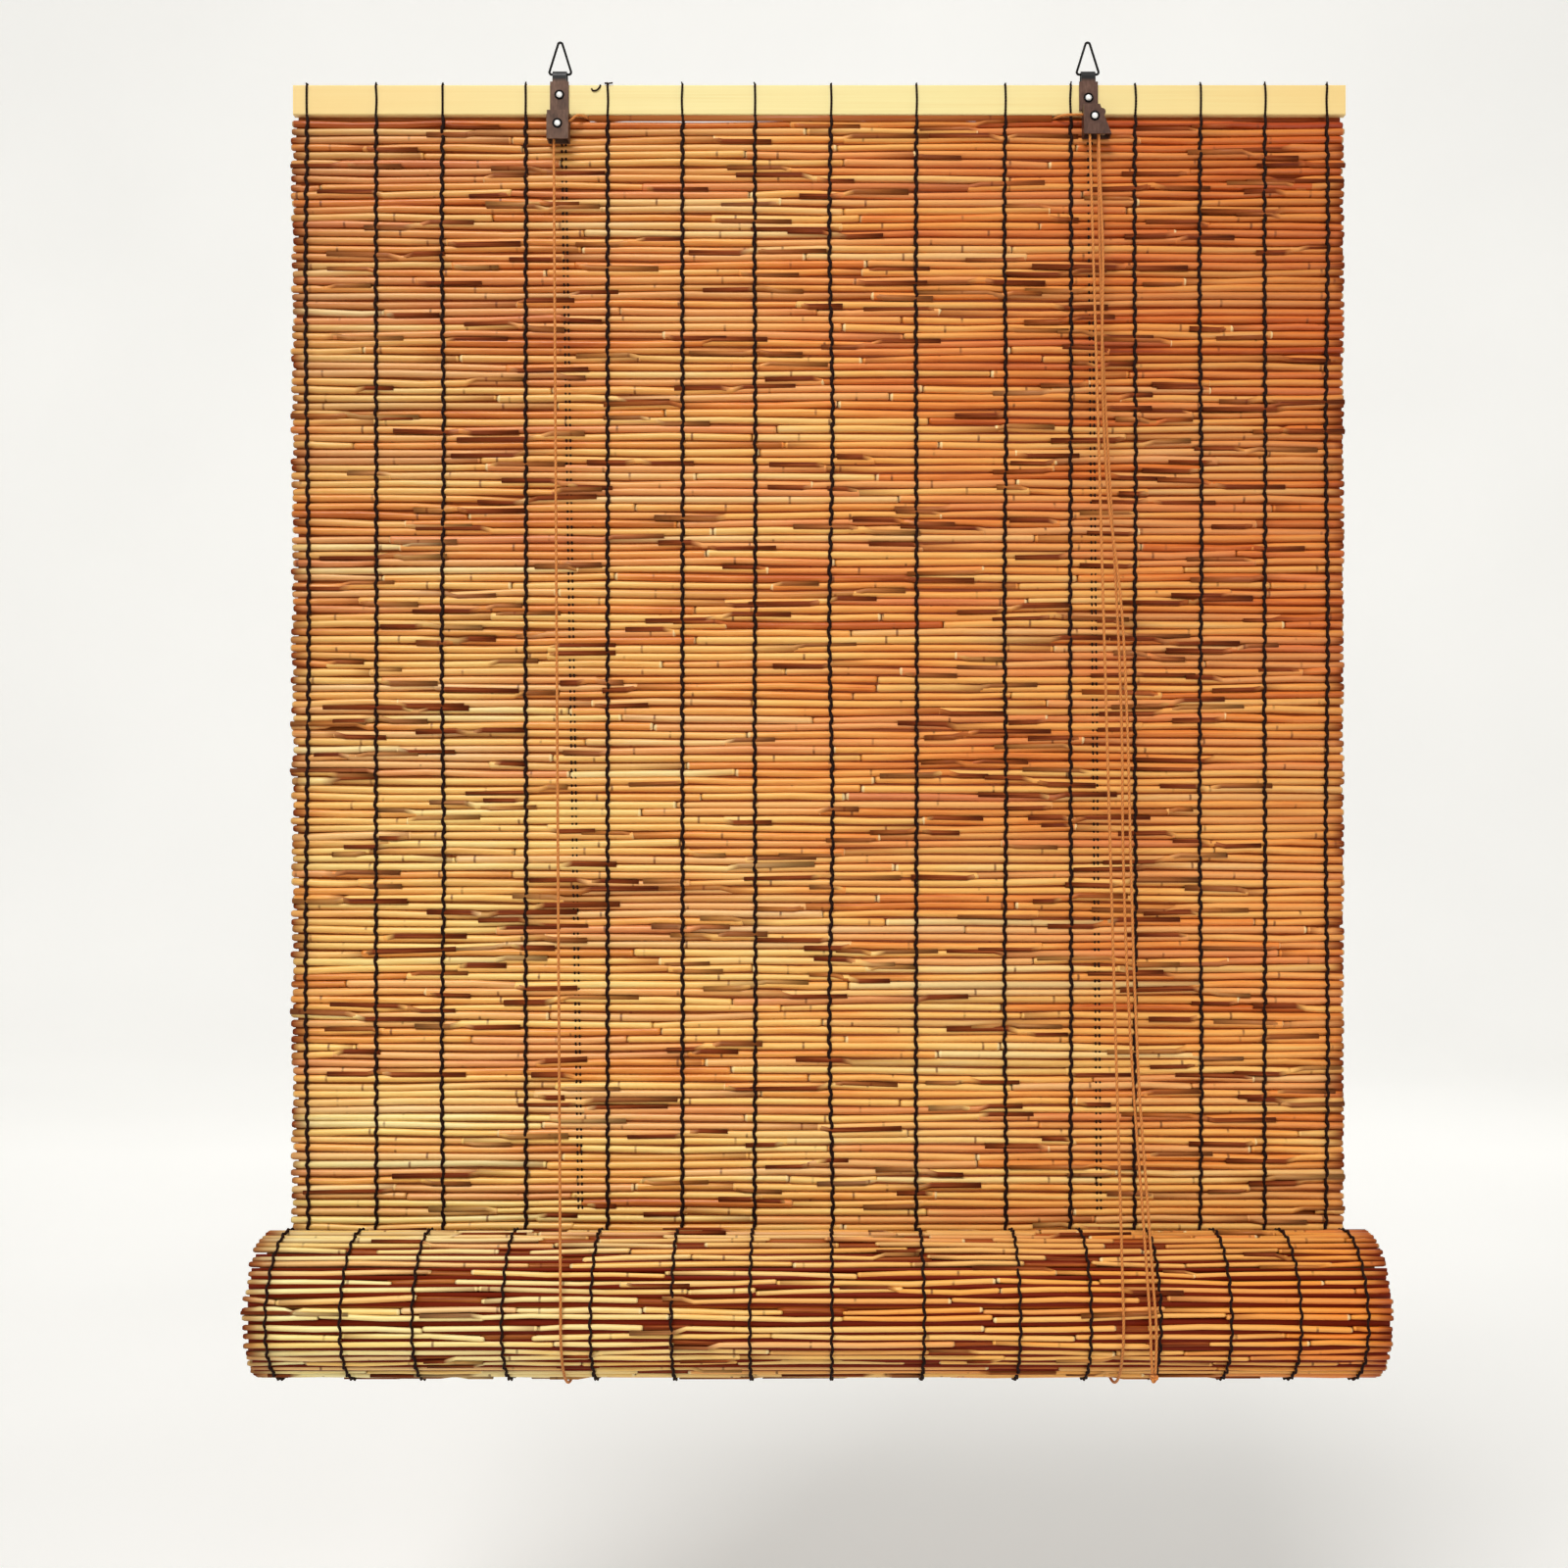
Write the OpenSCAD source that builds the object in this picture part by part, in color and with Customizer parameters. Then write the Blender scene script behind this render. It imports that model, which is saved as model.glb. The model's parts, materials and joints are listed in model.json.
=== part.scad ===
// Reed roll-up blind, rolled up part of the way.
// A mat of reeds bound by dark warps hangs from a wooden header slat. Two doubled cords run down
// the front, under the roll and up the back. They carry the roll and lift it when they are pulled.
// Millimetres. +X is to the right seen from the front, the front faces -Y and +Z is up.
// The origin is the middle of the header slat's top edge.

/* [Header slat] */
// Width of the header slat and of the mat
blind_w = 900; // [700:10:1400]
// Height of the header slat
header_h = 26; // [24:1:34]
// Thickness of the header slat
header_t = 8; // [7:0.5:12]
// Rounding of the header slat's long edges
header_round = 1.5; // [0.5:0.25:2.5]
// Slit between the header slat and the first reed, where the cross cord passes
header_slit = 3.4; // [3.2:0.1:6]

/* [Reeds] */
// Diameter of a reed
reed_d = 6.9; // [6.8:0.05:7.2]
// Distance from one reed to the next
reed_pitch = 6.7; // [6.5:0.05:6.75]
// Rows of reeds in the part that hangs flat
hanging_rows = 148; // [60:1:160]
// Height of a gap between two rows
gap_h = 0.6; // [0.3:0.1:1.2]
// Bound margin at each side of the mat that the gaps leave closed
gap_margin = 24; // [12:1:60]
// Rows that share one closed joint, which keeps the gaps few
gap_group = 5; // [4:1:8]

/* [Roll] */
// Turns of the mat in the roll
roll_turns = 6; // [4:1:7]
// Distance from one turn to the next
turn_pitch = 7.4; // [7.3:0.1:9]
// Part of a turn over which it steps inwards, in degrees
turn_step = 120; // [90:5:160]
// Diameter of the bottom rod in the middle of the roll
rod_d = 19; // [14:0.5:26]
// Space between the rod and the innermost turn
rod_gap = 0.3; // [0.2:0.1:1]

/* [Warps] */
// Diameter of a warp
warp_d = 2.2; // [1.4:0.1:2.8]
// Thickness of a warp where it is pulled flat over the header slat
stitch_t = 0.9; // [0.6:0.1:1.2]
// Space between a warp and the reeds
warp_gap = 0.15; // [0.1:0.05:0.3]

/* [Clips and rings] */
// Place of the left clip along the header slat
left_clip_x = -222; // [-235:1:-200]
// Place of the right clip along the header slat
right_clip_x = 230; // [222:1:240]
// Width of a clip's strip
clip_w = 16; // [12:0.5:20]
// Thickness of a clip's strip
clip_t = 1.2; // [0.8:0.1:2]
// Space between a clip and the header slat
clip_gap = 0.15; // [0.1:0.05:0.3]
// Width of the eye that holds the ring
eye_w = 12; // [8:0.5:13]
// Height of the eye's centre above the header slat
eye_z = 7; // [5:0.5:9]
// How far the clip's back leg reaches down the header slat
back_leg = 22; // [20:1:24]
// Wire of the hanging rings
ring_wire = 2; // [1.6:0.1:2.4]
// Width of a ring at its base
ring_w = 20; // [19:0.5:26]
// Height of a ring from its base to its top
ring_h = 32; // [28:1:40]
// Bend of the wire at the ring's corners
ring_bend = 2; // [1.5:0.1:2.6]
// Diameter of the rivets and axles
pin_d = 3; // [2.4:0.1:3.4]
// Diameter of a rivet's head
rivet_head = 5.6; // [4.5:0.1:7]
// Height of a rivet's dome
rivet_dome = 1.5; // [1:0.1:2]
// Height of the left rivet below the header slat's top edge
left_rivet_z = 9.2; // [5:0.1:12]
// Height of the right rivet below the header slat's top edge
right_rivet_z = 11.7; // [5:0.1:12.5]

/* [Pulleys and lock] */
// Depth of the housings from back to front
housing_d = 12; // [11.5:0.5:16]
// Sheet of the housings
housing_t = 1; // [0.8:0.1:1.3]
// Width of the left housing
housing_w = 18.5; // [17:0.5:24]
// Height of the left housing
housing_h = 25; // [22:0.5:32]
// Top of the left housing below the header slat's top edge
housing_top = 26; // [25:0.5:27]
// Left axle below the top of its housing
left_axle_drop = 11.9; // [11:0.1:14]
// Height of the step at the top of the left housing
step_h = 4; // [3:0.5:5]
// Depth of that step
step_d = 2; // [1:0.5:3]
// Width of the lock housing at its top
lock_w = 13.5; // [13:0.5:17]
// How far the lock housing's slanted side leans out
lock_lean = 10; // [9:0.5:13]
// Height of the lock housing
lock_h = 25.2; // [24:0.1:30]
// Top of the lock housing below the header slat's top edge
lock_top = 21.6; // [20.6:0.1:22.6]
// Left side of the lock housing from the clip's middle
lock_left = 5.7; // [5:0.1:8]
// Lock axle to the right of the clip's middle
lock_axle_dx = 3.5; // [3:0.1:4]
// Lock axle below the header slat's top edge
lock_axle_z = 31.6; // [31.1:0.1:32.6]
// Radius at which a cord runs over a pulley
pulley_r = 4; // [3.9:0.1:4.3]
// Space between a pulley and its cord
groove_gap = 0.15; // [0.1:0.05:0.25]
// Space between a pulley's bore and its axle
bore_gap = 0.05; // [0.02:0.01:0.1]
// Distance between the two grooves of the lock pulley
groove_pitch = 4.4; // [4:0.1:5]
// Diameter of the lock roller
roller_d = 4.4; // [3.8:0.1:4.6]
// Travel of the lock roller along the slanted side
roller_travel = 3; // [2:0.1:3.2]
// Lock roller at rest below the header slat's top edge
roller_z = 42.1; // [41.1:0.1:43.1]

/* [Cords] */
// Diameter of the cords
cord_d = 2.4; // [2:0.1:2.6]
// Left sling along the roll
left_sling_x = -204; // [-240:1:-190]
// Right sling along the roll
right_sling_x = 240; // [225:1:255]
// Space between a sling and the roll
sling_gap = 0.35; // [0.3:0.05:1]
// Diameter of the knots at the top of the back strands
back_knot = 5.8; // [5:0.2:8]
// Diameter of the knot at the end of the pull cords
pull_knot_d = 8; // [7.5:0.5:12]

/* [Hidden] */

$fn = 32;
reed_fn = 16;
cord_sides = 8;
fit = 0.02;
cut = 1;

// Warps, spaced by hand as on a woven mat. Each is a share of the width left of the clips, between
// them or right of them, so that the warps keep clear of the clips in any width.
left_shares = [0.0526, 0.3114, 0.5614, 0.8728];
middle_shares = [0.0907, 0.2323, 0.3695, 0.5133, 0.6748, 0.8429, 0.9668];
right_shares = [0.1818, 0.4364, 0.6864, 0.9273];
warp_x = concat(
    [for (s = left_shares) -blind_w / 2 + s * (blind_w / 2 + left_clip_x)],
    [for (s = middle_shares) left_clip_x + s * (right_clip_x - left_clip_x)],
    [for (s = right_shares) right_clip_x + s * (blind_w / 2 - right_clip_x)]);

// Hanging mat and roll
first_row_z = -header_h - header_slit - reed_d / 2;
last_row_z = first_row_z - (hanging_rows - 1) * reed_pitch;
roll_seat = 0.3;
roll_z = last_row_z - reed_d - roll_seat;
roll_r = rod_d / 2 + rod_gap + reed_d / 2 + roll_turns * turn_pitch;
roll_y = -roll_r;
warp_y = reed_d / 2 + warp_gap + warp_d / 2;
warp_end_z = roll_z + 0.66 * roll_r;
roll_warp_start = 6;
roll_warp_sweep = 360 - turn_step - roll_warp_start;

// Clips, from the header slat outwards
leg_y = header_t / 2 + clip_gap;
face_y = -leg_y - clip_t;
groove_y = face_y - (housing_d - housing_t) / 2;
eye_r = leg_y + clip_t;
ring_play = 0.1;
ring_z = eye_z + leg_y - ring_wire / 2 - ring_play;
bend_swell = 0.06;
bend_lap = 0.25;

// Pulleys. A groove widens towards the flange's edge, because the cord leaves it at a slant.
groove_r = cord_d / 2 + groove_gap;
groove_flare = 0.35;
flange_r = pulley_r + 1;
groove_lip = flange_r - pulley_r + fit;
bore_r = pin_d / 2 + bore_gap;
hub_r = pulley_r - groove_r - 0.3;
left_axle_z = -housing_top - left_axle_drop;
left_cord_x = left_clip_x - pulley_r;
lock_axle_x = right_clip_x + lock_axle_dx;
lift_groove_y = groove_y - groove_pitch / 2;
cross_groove_y = groove_y + groove_pitch / 2;

// Lock housing, with the slanted side on the right
lock_left_x = right_clip_x - lock_left;
lock_lean_angle = atan2(lock_lean, lock_h);
function lean_x(z) = lock_left_x + lock_w + (-lock_top - z) * lock_lean / lock_h;
roller_gap = 0.25;
roller_x = lean_x(-roller_z) - (housing_t + roller_d / 2 + roller_gap) / cos(lock_lean_angle);
roller_pin = 1.9;
roller_slot = roller_pin + 0.2;

// Slings, and where the front strands touch them
sling_r = roll_r + reed_d / 2 + sling_gap + cord_d / 2;
function touch_angle(y, z) = atan2(z - roll_z, y - roll_y)
    + acos(sling_r / norm([y - roll_y, z - roll_z]));
function on_sling(x, angle) = [x, roll_y + sling_r * cos(angle), roll_z + sling_r * sin(angle)];
left_touch = touch_angle(groove_y, left_axle_z);
right_touch = touch_angle(lift_groove_y, -lock_axle_z);
knot_y = leg_y + clip_t + back_knot / 2 + 0.05;
knot_z = -18;

// Space between the end of one length of cord and the start of the next, and the angle on the lock
// pulley at which the cross cord comes in
cord_end = 0.12;
cross_wrap = 90;

// Routes of the free cords, chosen by hand
cross_route = [[-222, -10.85, -33.9], [-215, -10.85, -33.9], [-212, -10.85, -33.4],
    [-209.5, -10.6, -31.4], [-207, -9.6, -29], [-204.5, -7.6, -27.8], [-201.5, -4.8, -27.7],
    [-198, -1, -27.7], [-194, 3.2, -27.7], [-189, 6.4, -27.5], [-182, 7.8, -27], [-170, 8, -26],
    [-100, 8, -25], [0, 8, -25], [100, 8, -25], [170, 8, -26], [188, 7.6, -27], [194, 5.6, -27.6],
    [198, 2.4, -27.7], [202, -1.8, -27.7], [206, -5.6, -27.7], [211, -8, -27.6],
    [217, -8.65, -27.6], [225, -8.65, -27.6]];
pull_route_a = [[237.5, -8.65, -31.72], [237.5, -9.5, -50], [237.5, -11.7, -80], [238, -16.3, -150],
    [240, -23.8, -250], [244, -32.6, -350], [248, -42.4, -450], [250, -53.4, -550],
    [249, -65.5, -650], [250, -78.8, -750], [253, -93.2, -850], [257, -105.5, -930],
    [260, -117, -1000], [261, -120.6, -1025], [261.5, -120.8, -1045], [262.5, -120.8, -1062.3]];
pull_route_b = [[237.5, -13.05, -31.72], [237.5, -13.9, -50], [238, -16, -80], [240, -20, -150],
    [238, -27.4, -250], [241, -36.2, -350], [251, -46, -450], [254, -57, -550],
    [254.5, -69, -650], [255, -82.4, -750], [257, -96.8, -850], [261, -108, -930],
    [264.4, -117, -1000], [265.6, -120.6, -1025], [265.6, -120.8, -1045], [264.9, -120.8, -1062.3]];
pull_knot_at = [263.7, -120.8, -1066.5];

function unit(v) = v / norm(v);
function heading(route, i) = unit(route[min(i + 1, len(route) - 1)] - route[max(i - 1, 0)]);

// A tube of one diameter swept along a route. The side vector is never along the route.
module cord_tube(route, side) {
    last = len(route) - 1;
    points = [for (i = [0 : last])
        let (t = heading(route, i), u = unit(cross(side, t)), v = cross(t, u))
        for (k = [0 : cord_sides - 1])
            let (a = 360 * k / cord_sides)
            route[i] + cord_d / 2 * (cos(a) * u + sin(a) * v)];
    walls = [for (i = [0 : last - 1], k = [0 : cord_sides - 1])
        let (a = i * cord_sides + k, b = i * cord_sides + (k + 1) % cord_sides)
        [a, a + cord_sides, b + cord_sides, b]];
    start = [for (k = [0 : cord_sides - 1]) k];
    end = [for (k = [cord_sides - 1 : -1 : 0]) last * cord_sides + k];
    polyhedron(points, concat(walls, [start, end]));
}

// A straight round bar from one point to another, or short of both by the same space
module bar(from, to, d, short = 0) {
    v = to - from;
    translate(from + short * unit(v))
        rotate([0, acos(v[2] / norm(v)), atan2(v[1], v[0])])
            cylinder(d = d, h = norm(v) - 2 * short);
}

// Extrudes a section in Y and Z along X
module along_x(length) {
    rotate([90, 0, 90]) linear_extrude(length, center = true) children();
}

// Extrudes an outline in X and Z towards the front
module to_front(depth) {
    rotate([90, 0, 0]) linear_extrude(depth) children();
}

module round_rect(w, h, r) {
    square([w, h - 2 * r], center = true);
    square([w - 2 * r, h], center = true);
    for (sx = [-1, 1], sz = [-1, 1])
        translate([sx * (w / 2 - r), sz * (h / 2 - r)]) circle(r);
}

// A hole from front to back
module cross_hole(x, z, r) {
    translate([x, 0, z]) rotate([90, 0, 0]) cylinder(r = r, h = 4 * header_t, center = true);
}

// A hole in the back leg of a clip alone
module back_hole(x, z, r) {
    translate([x, 2 * header_t, z]) rotate([90, 0, 0]) cylinder(r = r, h = 2 * header_t);
}

// Header slat
module header_slat() {
    color("#e9d39a") difference() {
        translate([0, 0, -header_h / 2]) along_x(blind_w) round_rect(header_t, header_h, header_round);
        cross_hole(left_clip_x, -left_rivet_z, pin_d / 2 + fit);
        cross_hole(right_clip_x, -right_rivet_z, pin_d / 2 + fit);
    }
}

module at_warps() {
    for (x = warp_x) translate([x, 0, 0]) children();
}

module header_stitches() {
    color("#2b1c14") at_warps() along_x(warp_d) difference() {
        translate([-header_t / 2 - stitch_t, -header_h])
            square([header_t + 2 * stitch_t, header_h + stitch_t]);
        translate([-header_t / 2, -header_h - cut]) square([header_t, header_h + cut]);
    }
}

// Reed mat
module hanging_mat() {
    color("#c98d4e") difference() {
        along_x(blind_w) for (i = [0 : hanging_rows - 1])
            translate([0, first_row_z - i * reed_pitch]) circle(d = reed_d, $fn = reed_fn);
        for (i = [0 : hanging_rows - 2])
            if (i % gap_group != gap_group - 1)
                translate([0, 0, first_row_z - (i + 0.5) * reed_pitch])
                    cube([blind_w - 2 * gap_margin, reed_d + cut, gap_h], center = true);
    }
}

module front_warps() {
    color("#2b1c14") at_warps()
        translate([0, -warp_y, warp_end_z]) cylinder(d = warp_d, h = -header_h - warp_end_z);
}

module back_warps() {
    color("#2b1c14") at_warps()
        translate([0, warp_y, roll_z]) cylinder(d = warp_d, h = -header_h - roll_z);
}

// Roll. A turn keeps its radius and then steps inwards by one turn pitch, behind the top.
function ease(t) = t <= 0 ? 0 : t * t * (3 - 2 * t);
function turn_r(angle) = roll_r - turn_pitch * (floor(angle / 360)
    + ease((angle % 360 - 360 + turn_step) / turn_step));
function next_angle(angle) = angle + reed_pitch / turn_r(angle) * 180 / PI;
reed_angles = [for (a = 0; a < 360 * roll_turns; a = next_angle(a)) a];

module mat_roll() {
    color("#bd7f40") translate([0, roll_y, roll_z]) along_x(blind_w) for (a = reed_angles)
        translate(turn_r(a) * [cos(a), -sin(a)]) circle(d = reed_d, $fn = reed_fn);
}

module roll_warps() {
    color("#2b1c14") at_warps() translate([0, roll_y, roll_z])
        rotate([90, 0, 90]) rotate([0, 0, -roll_warp_start - roll_warp_sweep])
            rotate_extrude(angle = roll_warp_sweep) translate([roll_r + warp_y, 0]) circle(d = warp_d);
}

module bottom_rod() {
    color("#a9793f") translate([0, roll_y, roll_z]) along_x(blind_w) circle(d = rod_d);
}

// Clips: a strip folded over the header slat, with the ring's eye in its bend
module clip_strap(x, front_end) {
    translate([x, 0, 0]) {
        along_x(clip_w) {
            translate([leg_y, -back_leg]) square([clip_t, back_leg + 2]);
            translate([face_y, front_end]) square([clip_t, 2 - front_end]);
        }
        along_x(eye_w) {
            translate([leg_y, 0]) square([clip_t, eye_z]);
            translate([face_y, 0]) square([clip_t, eye_z]);
            translate([0, eye_z]) difference() {
                circle(eye_r);
                circle(leg_y);
                translate([-2 * eye_r, -2 * eye_r]) square([4 * eye_r, 2 * eye_r]);
            }
        }
    }
}

module left_clip() {
    color("#6d5a4c") difference() {
        union() {
            clip_strap(left_clip_x, -housing_top - cut);
            translate([left_clip_x - housing_w / 2, -leg_y, -housing_top - housing_h])
                mirror([0, 1, 0]) cube([housing_w, clip_t, housing_h]);
        }
        cross_hole(left_clip_x, -left_rivet_z, pin_d / 2 + fit);
        cross_hole(left_clip_x, left_axle_z, pin_d / 2 + fit);
        back_hole(left_clip_x, knot_z, cord_d / 2 + groove_gap);
    }
}

module lock_outline() {
    polygon([[lock_left_x, -lock_top], [lean_x(-lock_top), -lock_top],
        [lean_x(-lock_top - lock_h), -lock_top - lock_h], [lock_left_x, -lock_top - lock_h]]);
}

module right_clip() {
    color("#5a4d42") difference() {
        union() {
            clip_strap(right_clip_x, -lock_top - cut);
            translate([0, -leg_y, 0]) to_front(clip_t) lock_outline();
        }
        cross_hole(right_clip_x, -right_rivet_z, pin_d / 2 + fit);
        cross_hole(lock_axle_x, -lock_axle_z, pin_d / 2 + fit);
        back_hole(right_clip_x, knot_z + 1, cord_d / 2 + groove_gap);
        translate([roller_x, 0, -roller_z]) rotate([0, -lock_lean_angle, 0]) {
            for (z = [0, roller_travel]) cross_hole(0, z, roller_slot / 2);
            translate([-roller_slot / 2, -header_t, 0]) cube([roller_slot, header_t, roller_travel]);
        }
    }
}

// Rings: a triangle of wire with its base in the clip's eye. The straight wires end inside the bends.
module wire_bend(centre, start, sweep) {
    translate([centre[0], 0, centre[1]]) rotate([90, 0, 0]) rotate([0, 0, start])
        rotate_extrude(angle = sweep) translate([ring_bend, 0]) circle(d = ring_wire + bend_swell);
}

module straight_wire(from, to) {
    lap = bend_lap * unit(to - from);
    bar(from - lap, to + lap, ring_wire);
}

module hanging_ring(x) {
    slope = atan2(ring_h, ring_w / 2);
    corner_x = ring_w / 2 - ring_bend / tan(slope / 2);
    top_z = ring_h - ring_bend / cos(slope);
    side = ring_bend * [sin(slope), 0, cos(slope)];
    color("#26221f") translate([x, 0, ring_z]) {
        straight_wire([-corner_x, 0, 0], [corner_x, 0, 0]);
        for (s = [0, 1]) mirror([s, 0, 0]) {
            straight_wire([corner_x, 0, ring_bend] + side, [0, 0, top_z] + side);
            wire_bend([corner_x, ring_bend], -90, 180 - slope);
        }
        wire_bend([0, top_z], 90 - slope, 2 * slope);
    }
}

module left_ring() { hanging_ring(left_clip_x); }
module right_ring() { hanging_ring(right_clip_x); }

// Rivets and axles: a domed head in front and a plain shank
module headed_pin(x, z, front_y, back_y) {
    dome_r = (pow(rivet_head / 2, 2) + pow(rivet_dome, 2)) / (2 * rivet_dome);
    color("#d8d4cc") translate([x, front_y, z]) rotate([90, 0, 0]) rotate_extrude() {
        intersection() {
            translate([0, rivet_dome - dome_r]) circle(dome_r, $fn = 96);
            square([rivet_head / 2, rivet_dome]);
        }
        translate([0, front_y - back_y]) square([pin_d / 2, back_y - front_y + rivet_dome / 2]);
    }
}

module left_rivet() { headed_pin(left_clip_x, -left_rivet_z, face_y, leg_y + clip_t); }
module right_rivet() { headed_pin(right_clip_x, -right_rivet_z, face_y, leg_y + clip_t); }
module left_axle() { headed_pin(left_clip_x, left_axle_z, face_y - housing_d, -leg_y); }
module lock_axle() { headed_pin(lock_axle_x, -lock_axle_z, face_y - housing_d, -leg_y); }

// Left housing: a box open below and behind, stepped at its top, notched where the cord leaves
module left_housing() {
    bottom = -housing_top - housing_h;
    cavity_h = housing_h - step_h - housing_t;
    color("#6f594c") translate([left_clip_x, face_y, 0]) difference() {
        translate([-housing_w / 2, -housing_d, bottom]) cube([housing_w, housing_d, housing_h]);
        translate([-housing_w / 2 - cut, -housing_d - cut, -housing_top - step_h])
            cube([housing_w + 2 * cut, step_d + cut, step_h + cut]);
        translate([-housing_w / 2 + housing_t, -housing_d + housing_t, bottom - cut])
            cube([housing_w - 2 * housing_t, housing_d, cavity_h + cut]);
        translate([housing_w / 2 - 2 * housing_t, groove_y - face_y - 2 * groove_r,
            left_axle_z + pulley_r - 2 * groove_r])
            cube([3 * housing_t, housing_d, 4 * groove_r]);
        cross_hole(0, left_axle_z, pin_d / 2 + fit);
    }
}

// Lock housing: slanted on the right, with a round ear, open below and behind
module lock_housing() {
    inset = housing_t / cos(lock_lean_angle);
    bottom = -lock_top - lock_h;
    ear_r = 3.2;
    ear_z = -lock_top - 5.5;
    color("#504640") translate([0, face_y, 0]) difference() {
        union() {
            to_front(housing_d) lock_outline();
            translate([lean_x(ear_z), -housing_d / 4, ear_z]) rotate([90, 0, 0])
                cylinder(r = ear_r, h = housing_d / 2);
        }
        translate([0, cut, 0]) to_front(housing_d - housing_t + cut) polygon([
            [lock_left_x + housing_t, -lock_top - housing_t],
            [lean_x(-lock_top - housing_t) - inset, -lock_top - housing_t],
            [lean_x(bottom - cut) - inset, bottom - cut],
            [lock_left_x + housing_t, bottom - cut]]);
        translate([lock_left_x - cut, cross_groove_y - face_y - 2 * groove_r, -lock_axle_z])
            cube([2 * housing_t + cut, housing_d, flange_r + groove_r]);
        cross_hole(lock_axle_x, -lock_axle_z, pin_d / 2 + fit);
    }
}

// Pulleys, with hubs that keep their grooves in the middle of the housing
module pulley(x, z, grooves) {
    rim = groove_r + 0.6;
    hub = (housing_d - housing_t) / 2 - 0.3;
    low = min(grooves) - rim;
    high = max(grooves) + rim;
    translate([x, groove_y, z]) rotate([90, 0, 0]) rotate_extrude() difference() {
        union() {
            translate([bore_r, low]) square([flange_r - bore_r, high - low]);
            translate([bore_r, -hub]) square([hub_r - bore_r, 2 * hub]);
        }
        for (g = grooves) translate([pulley_r, g]) {
            circle(groove_r);
            polygon([[0, -groove_r], [groove_lip, -groove_r - groove_flare],
                [groove_lip, groove_r + groove_flare], [0, groove_r]]);
        }
    }
}

module left_pulley() { color("#b9a98c") pulley(left_clip_x, left_axle_z, [0]); }

module lock_pulley() {
    color("#b9a98c") pulley(lock_axle_x, -lock_axle_z, [-groove_pitch / 2, groove_pitch / 2]);
}

module lock_roller() {
    length = housing_d - housing_t - 0.6;
    color("#b9a98c") translate([roller_x, face_y - 0.3, -roller_z]) rotate([90, 0, 0]) {
        cylinder(d = roller_d, h = length);
        translate([0, 0, -clip_t]) cylinder(d = roller_pin, h = clip_t + cut);
    }
}

// Lift cords
module left_front_strand() {
    color("#b5773f")
        bar([left_cord_x, groove_y, left_axle_z], on_sling(left_sling_x, left_touch), cord_d,
            cord_end);
}

module right_front_strand() {
    color("#b5773f") bar([lock_axle_x - pulley_r, lift_groove_y, -lock_axle_z],
        on_sling(right_sling_x, right_touch), cord_d, cord_end);
}

module sling(x, touch) {
    color("#b5773f") translate([x, roll_y, roll_z]) rotate([90, 0, 90]) rotate([0, 0, touch])
        rotate_extrude(angle = 360 - touch) translate([sling_r, 0]) circle(d = cord_d);
}

module left_sling() { sling(left_sling_x, left_touch); }
module right_sling() { sling(right_sling_x, right_touch); }

module back_strand(clip_x, sling_x, z) {
    color("#b5773f") {
        bar([clip_x, knot_y, z], on_sling(sling_x, 0), cord_d, cord_end);
        translate([clip_x, knot_y, z]) sphere(d = back_knot);
        bar([clip_x, knot_y, z], [clip_x, header_t / 2 + clip_gap, z], cord_d);
    }
}

module left_back_strand() { back_strand(left_clip_x, left_sling_x, knot_z); }
module right_back_strand() { back_strand(right_clip_x, right_sling_x, knot_z + 1); }

// Cords over the pulleys
module pulley_loop(x, y, z, start, sweep) {
    translate([x, y, z]) rotate([90, 0, 0]) rotate([0, 0, start])
        rotate_extrude(angle = sweep) translate([pulley_r, 0]) circle(d = cord_d);
}

module left_loop() { color("#b5773f") pulley_loop(left_clip_x, groove_y, left_axle_z, 90, 90); }

module lock_loops() {
    color("#b5773f") {
        pulley_loop(lock_axle_x, lift_groove_y, -lock_axle_z, 0, 180);
        pulley_loop(lock_axle_x, cross_groove_y, -lock_axle_z, 0, cross_wrap);
    }
}

module cross_cord() {
    from_lock = [lock_axle_x + pulley_r * cos(cross_wrap) - cord_end, cross_groove_y,
        -lock_axle_z + pulley_r * sin(cross_wrap)];
    color("#a86a35") cord_tube(concat(cross_route, [from_lock]), [0, 0, 1]);
}

// Pull cords
module pull_strand_a() { color("#b5773f") cord_tube(pull_route_a, [1, 0, 0]); }
module pull_strand_b() { color("#b5773f") cord_tube(pull_route_b, [1, 0, 0]); }
module pull_knot() { color("#a86a35") translate(pull_knot_at) sphere(d = pull_knot_d); }

header_slat();
header_stitches();
hanging_mat();
front_warps();
back_warps();
mat_roll();
roll_warps();
bottom_rod();
left_clip();
right_clip();
left_ring();
right_ring();
left_rivet();
right_rivet();
left_housing();
lock_housing();
left_axle();
lock_axle();
left_pulley();
lock_pulley();
lock_roller();
left_front_strand();
right_front_strand();
left_sling();
right_sling();
left_back_strand();
right_back_strand();
left_loop();
lock_loops();
cross_cord();
pull_strand_a();
pull_strand_b();
pull_knot();
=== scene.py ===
# %% [markdown]
# # Reed roll-up blind
# The blind is a mat of varnished reeds, bound by dark warps, that hangs from a wooden slat and is
# rolled up part of the way. The frame already holds its solids and joints. This lesson dresses
# them: single reeds with cut ends, twisted cords and warps, lacquered metal and planed wood.

# %% Load the frame
import json
import math
import random

import bmesh
import bpy
import numpy as np
from mathutils import Matrix, Vector


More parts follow.
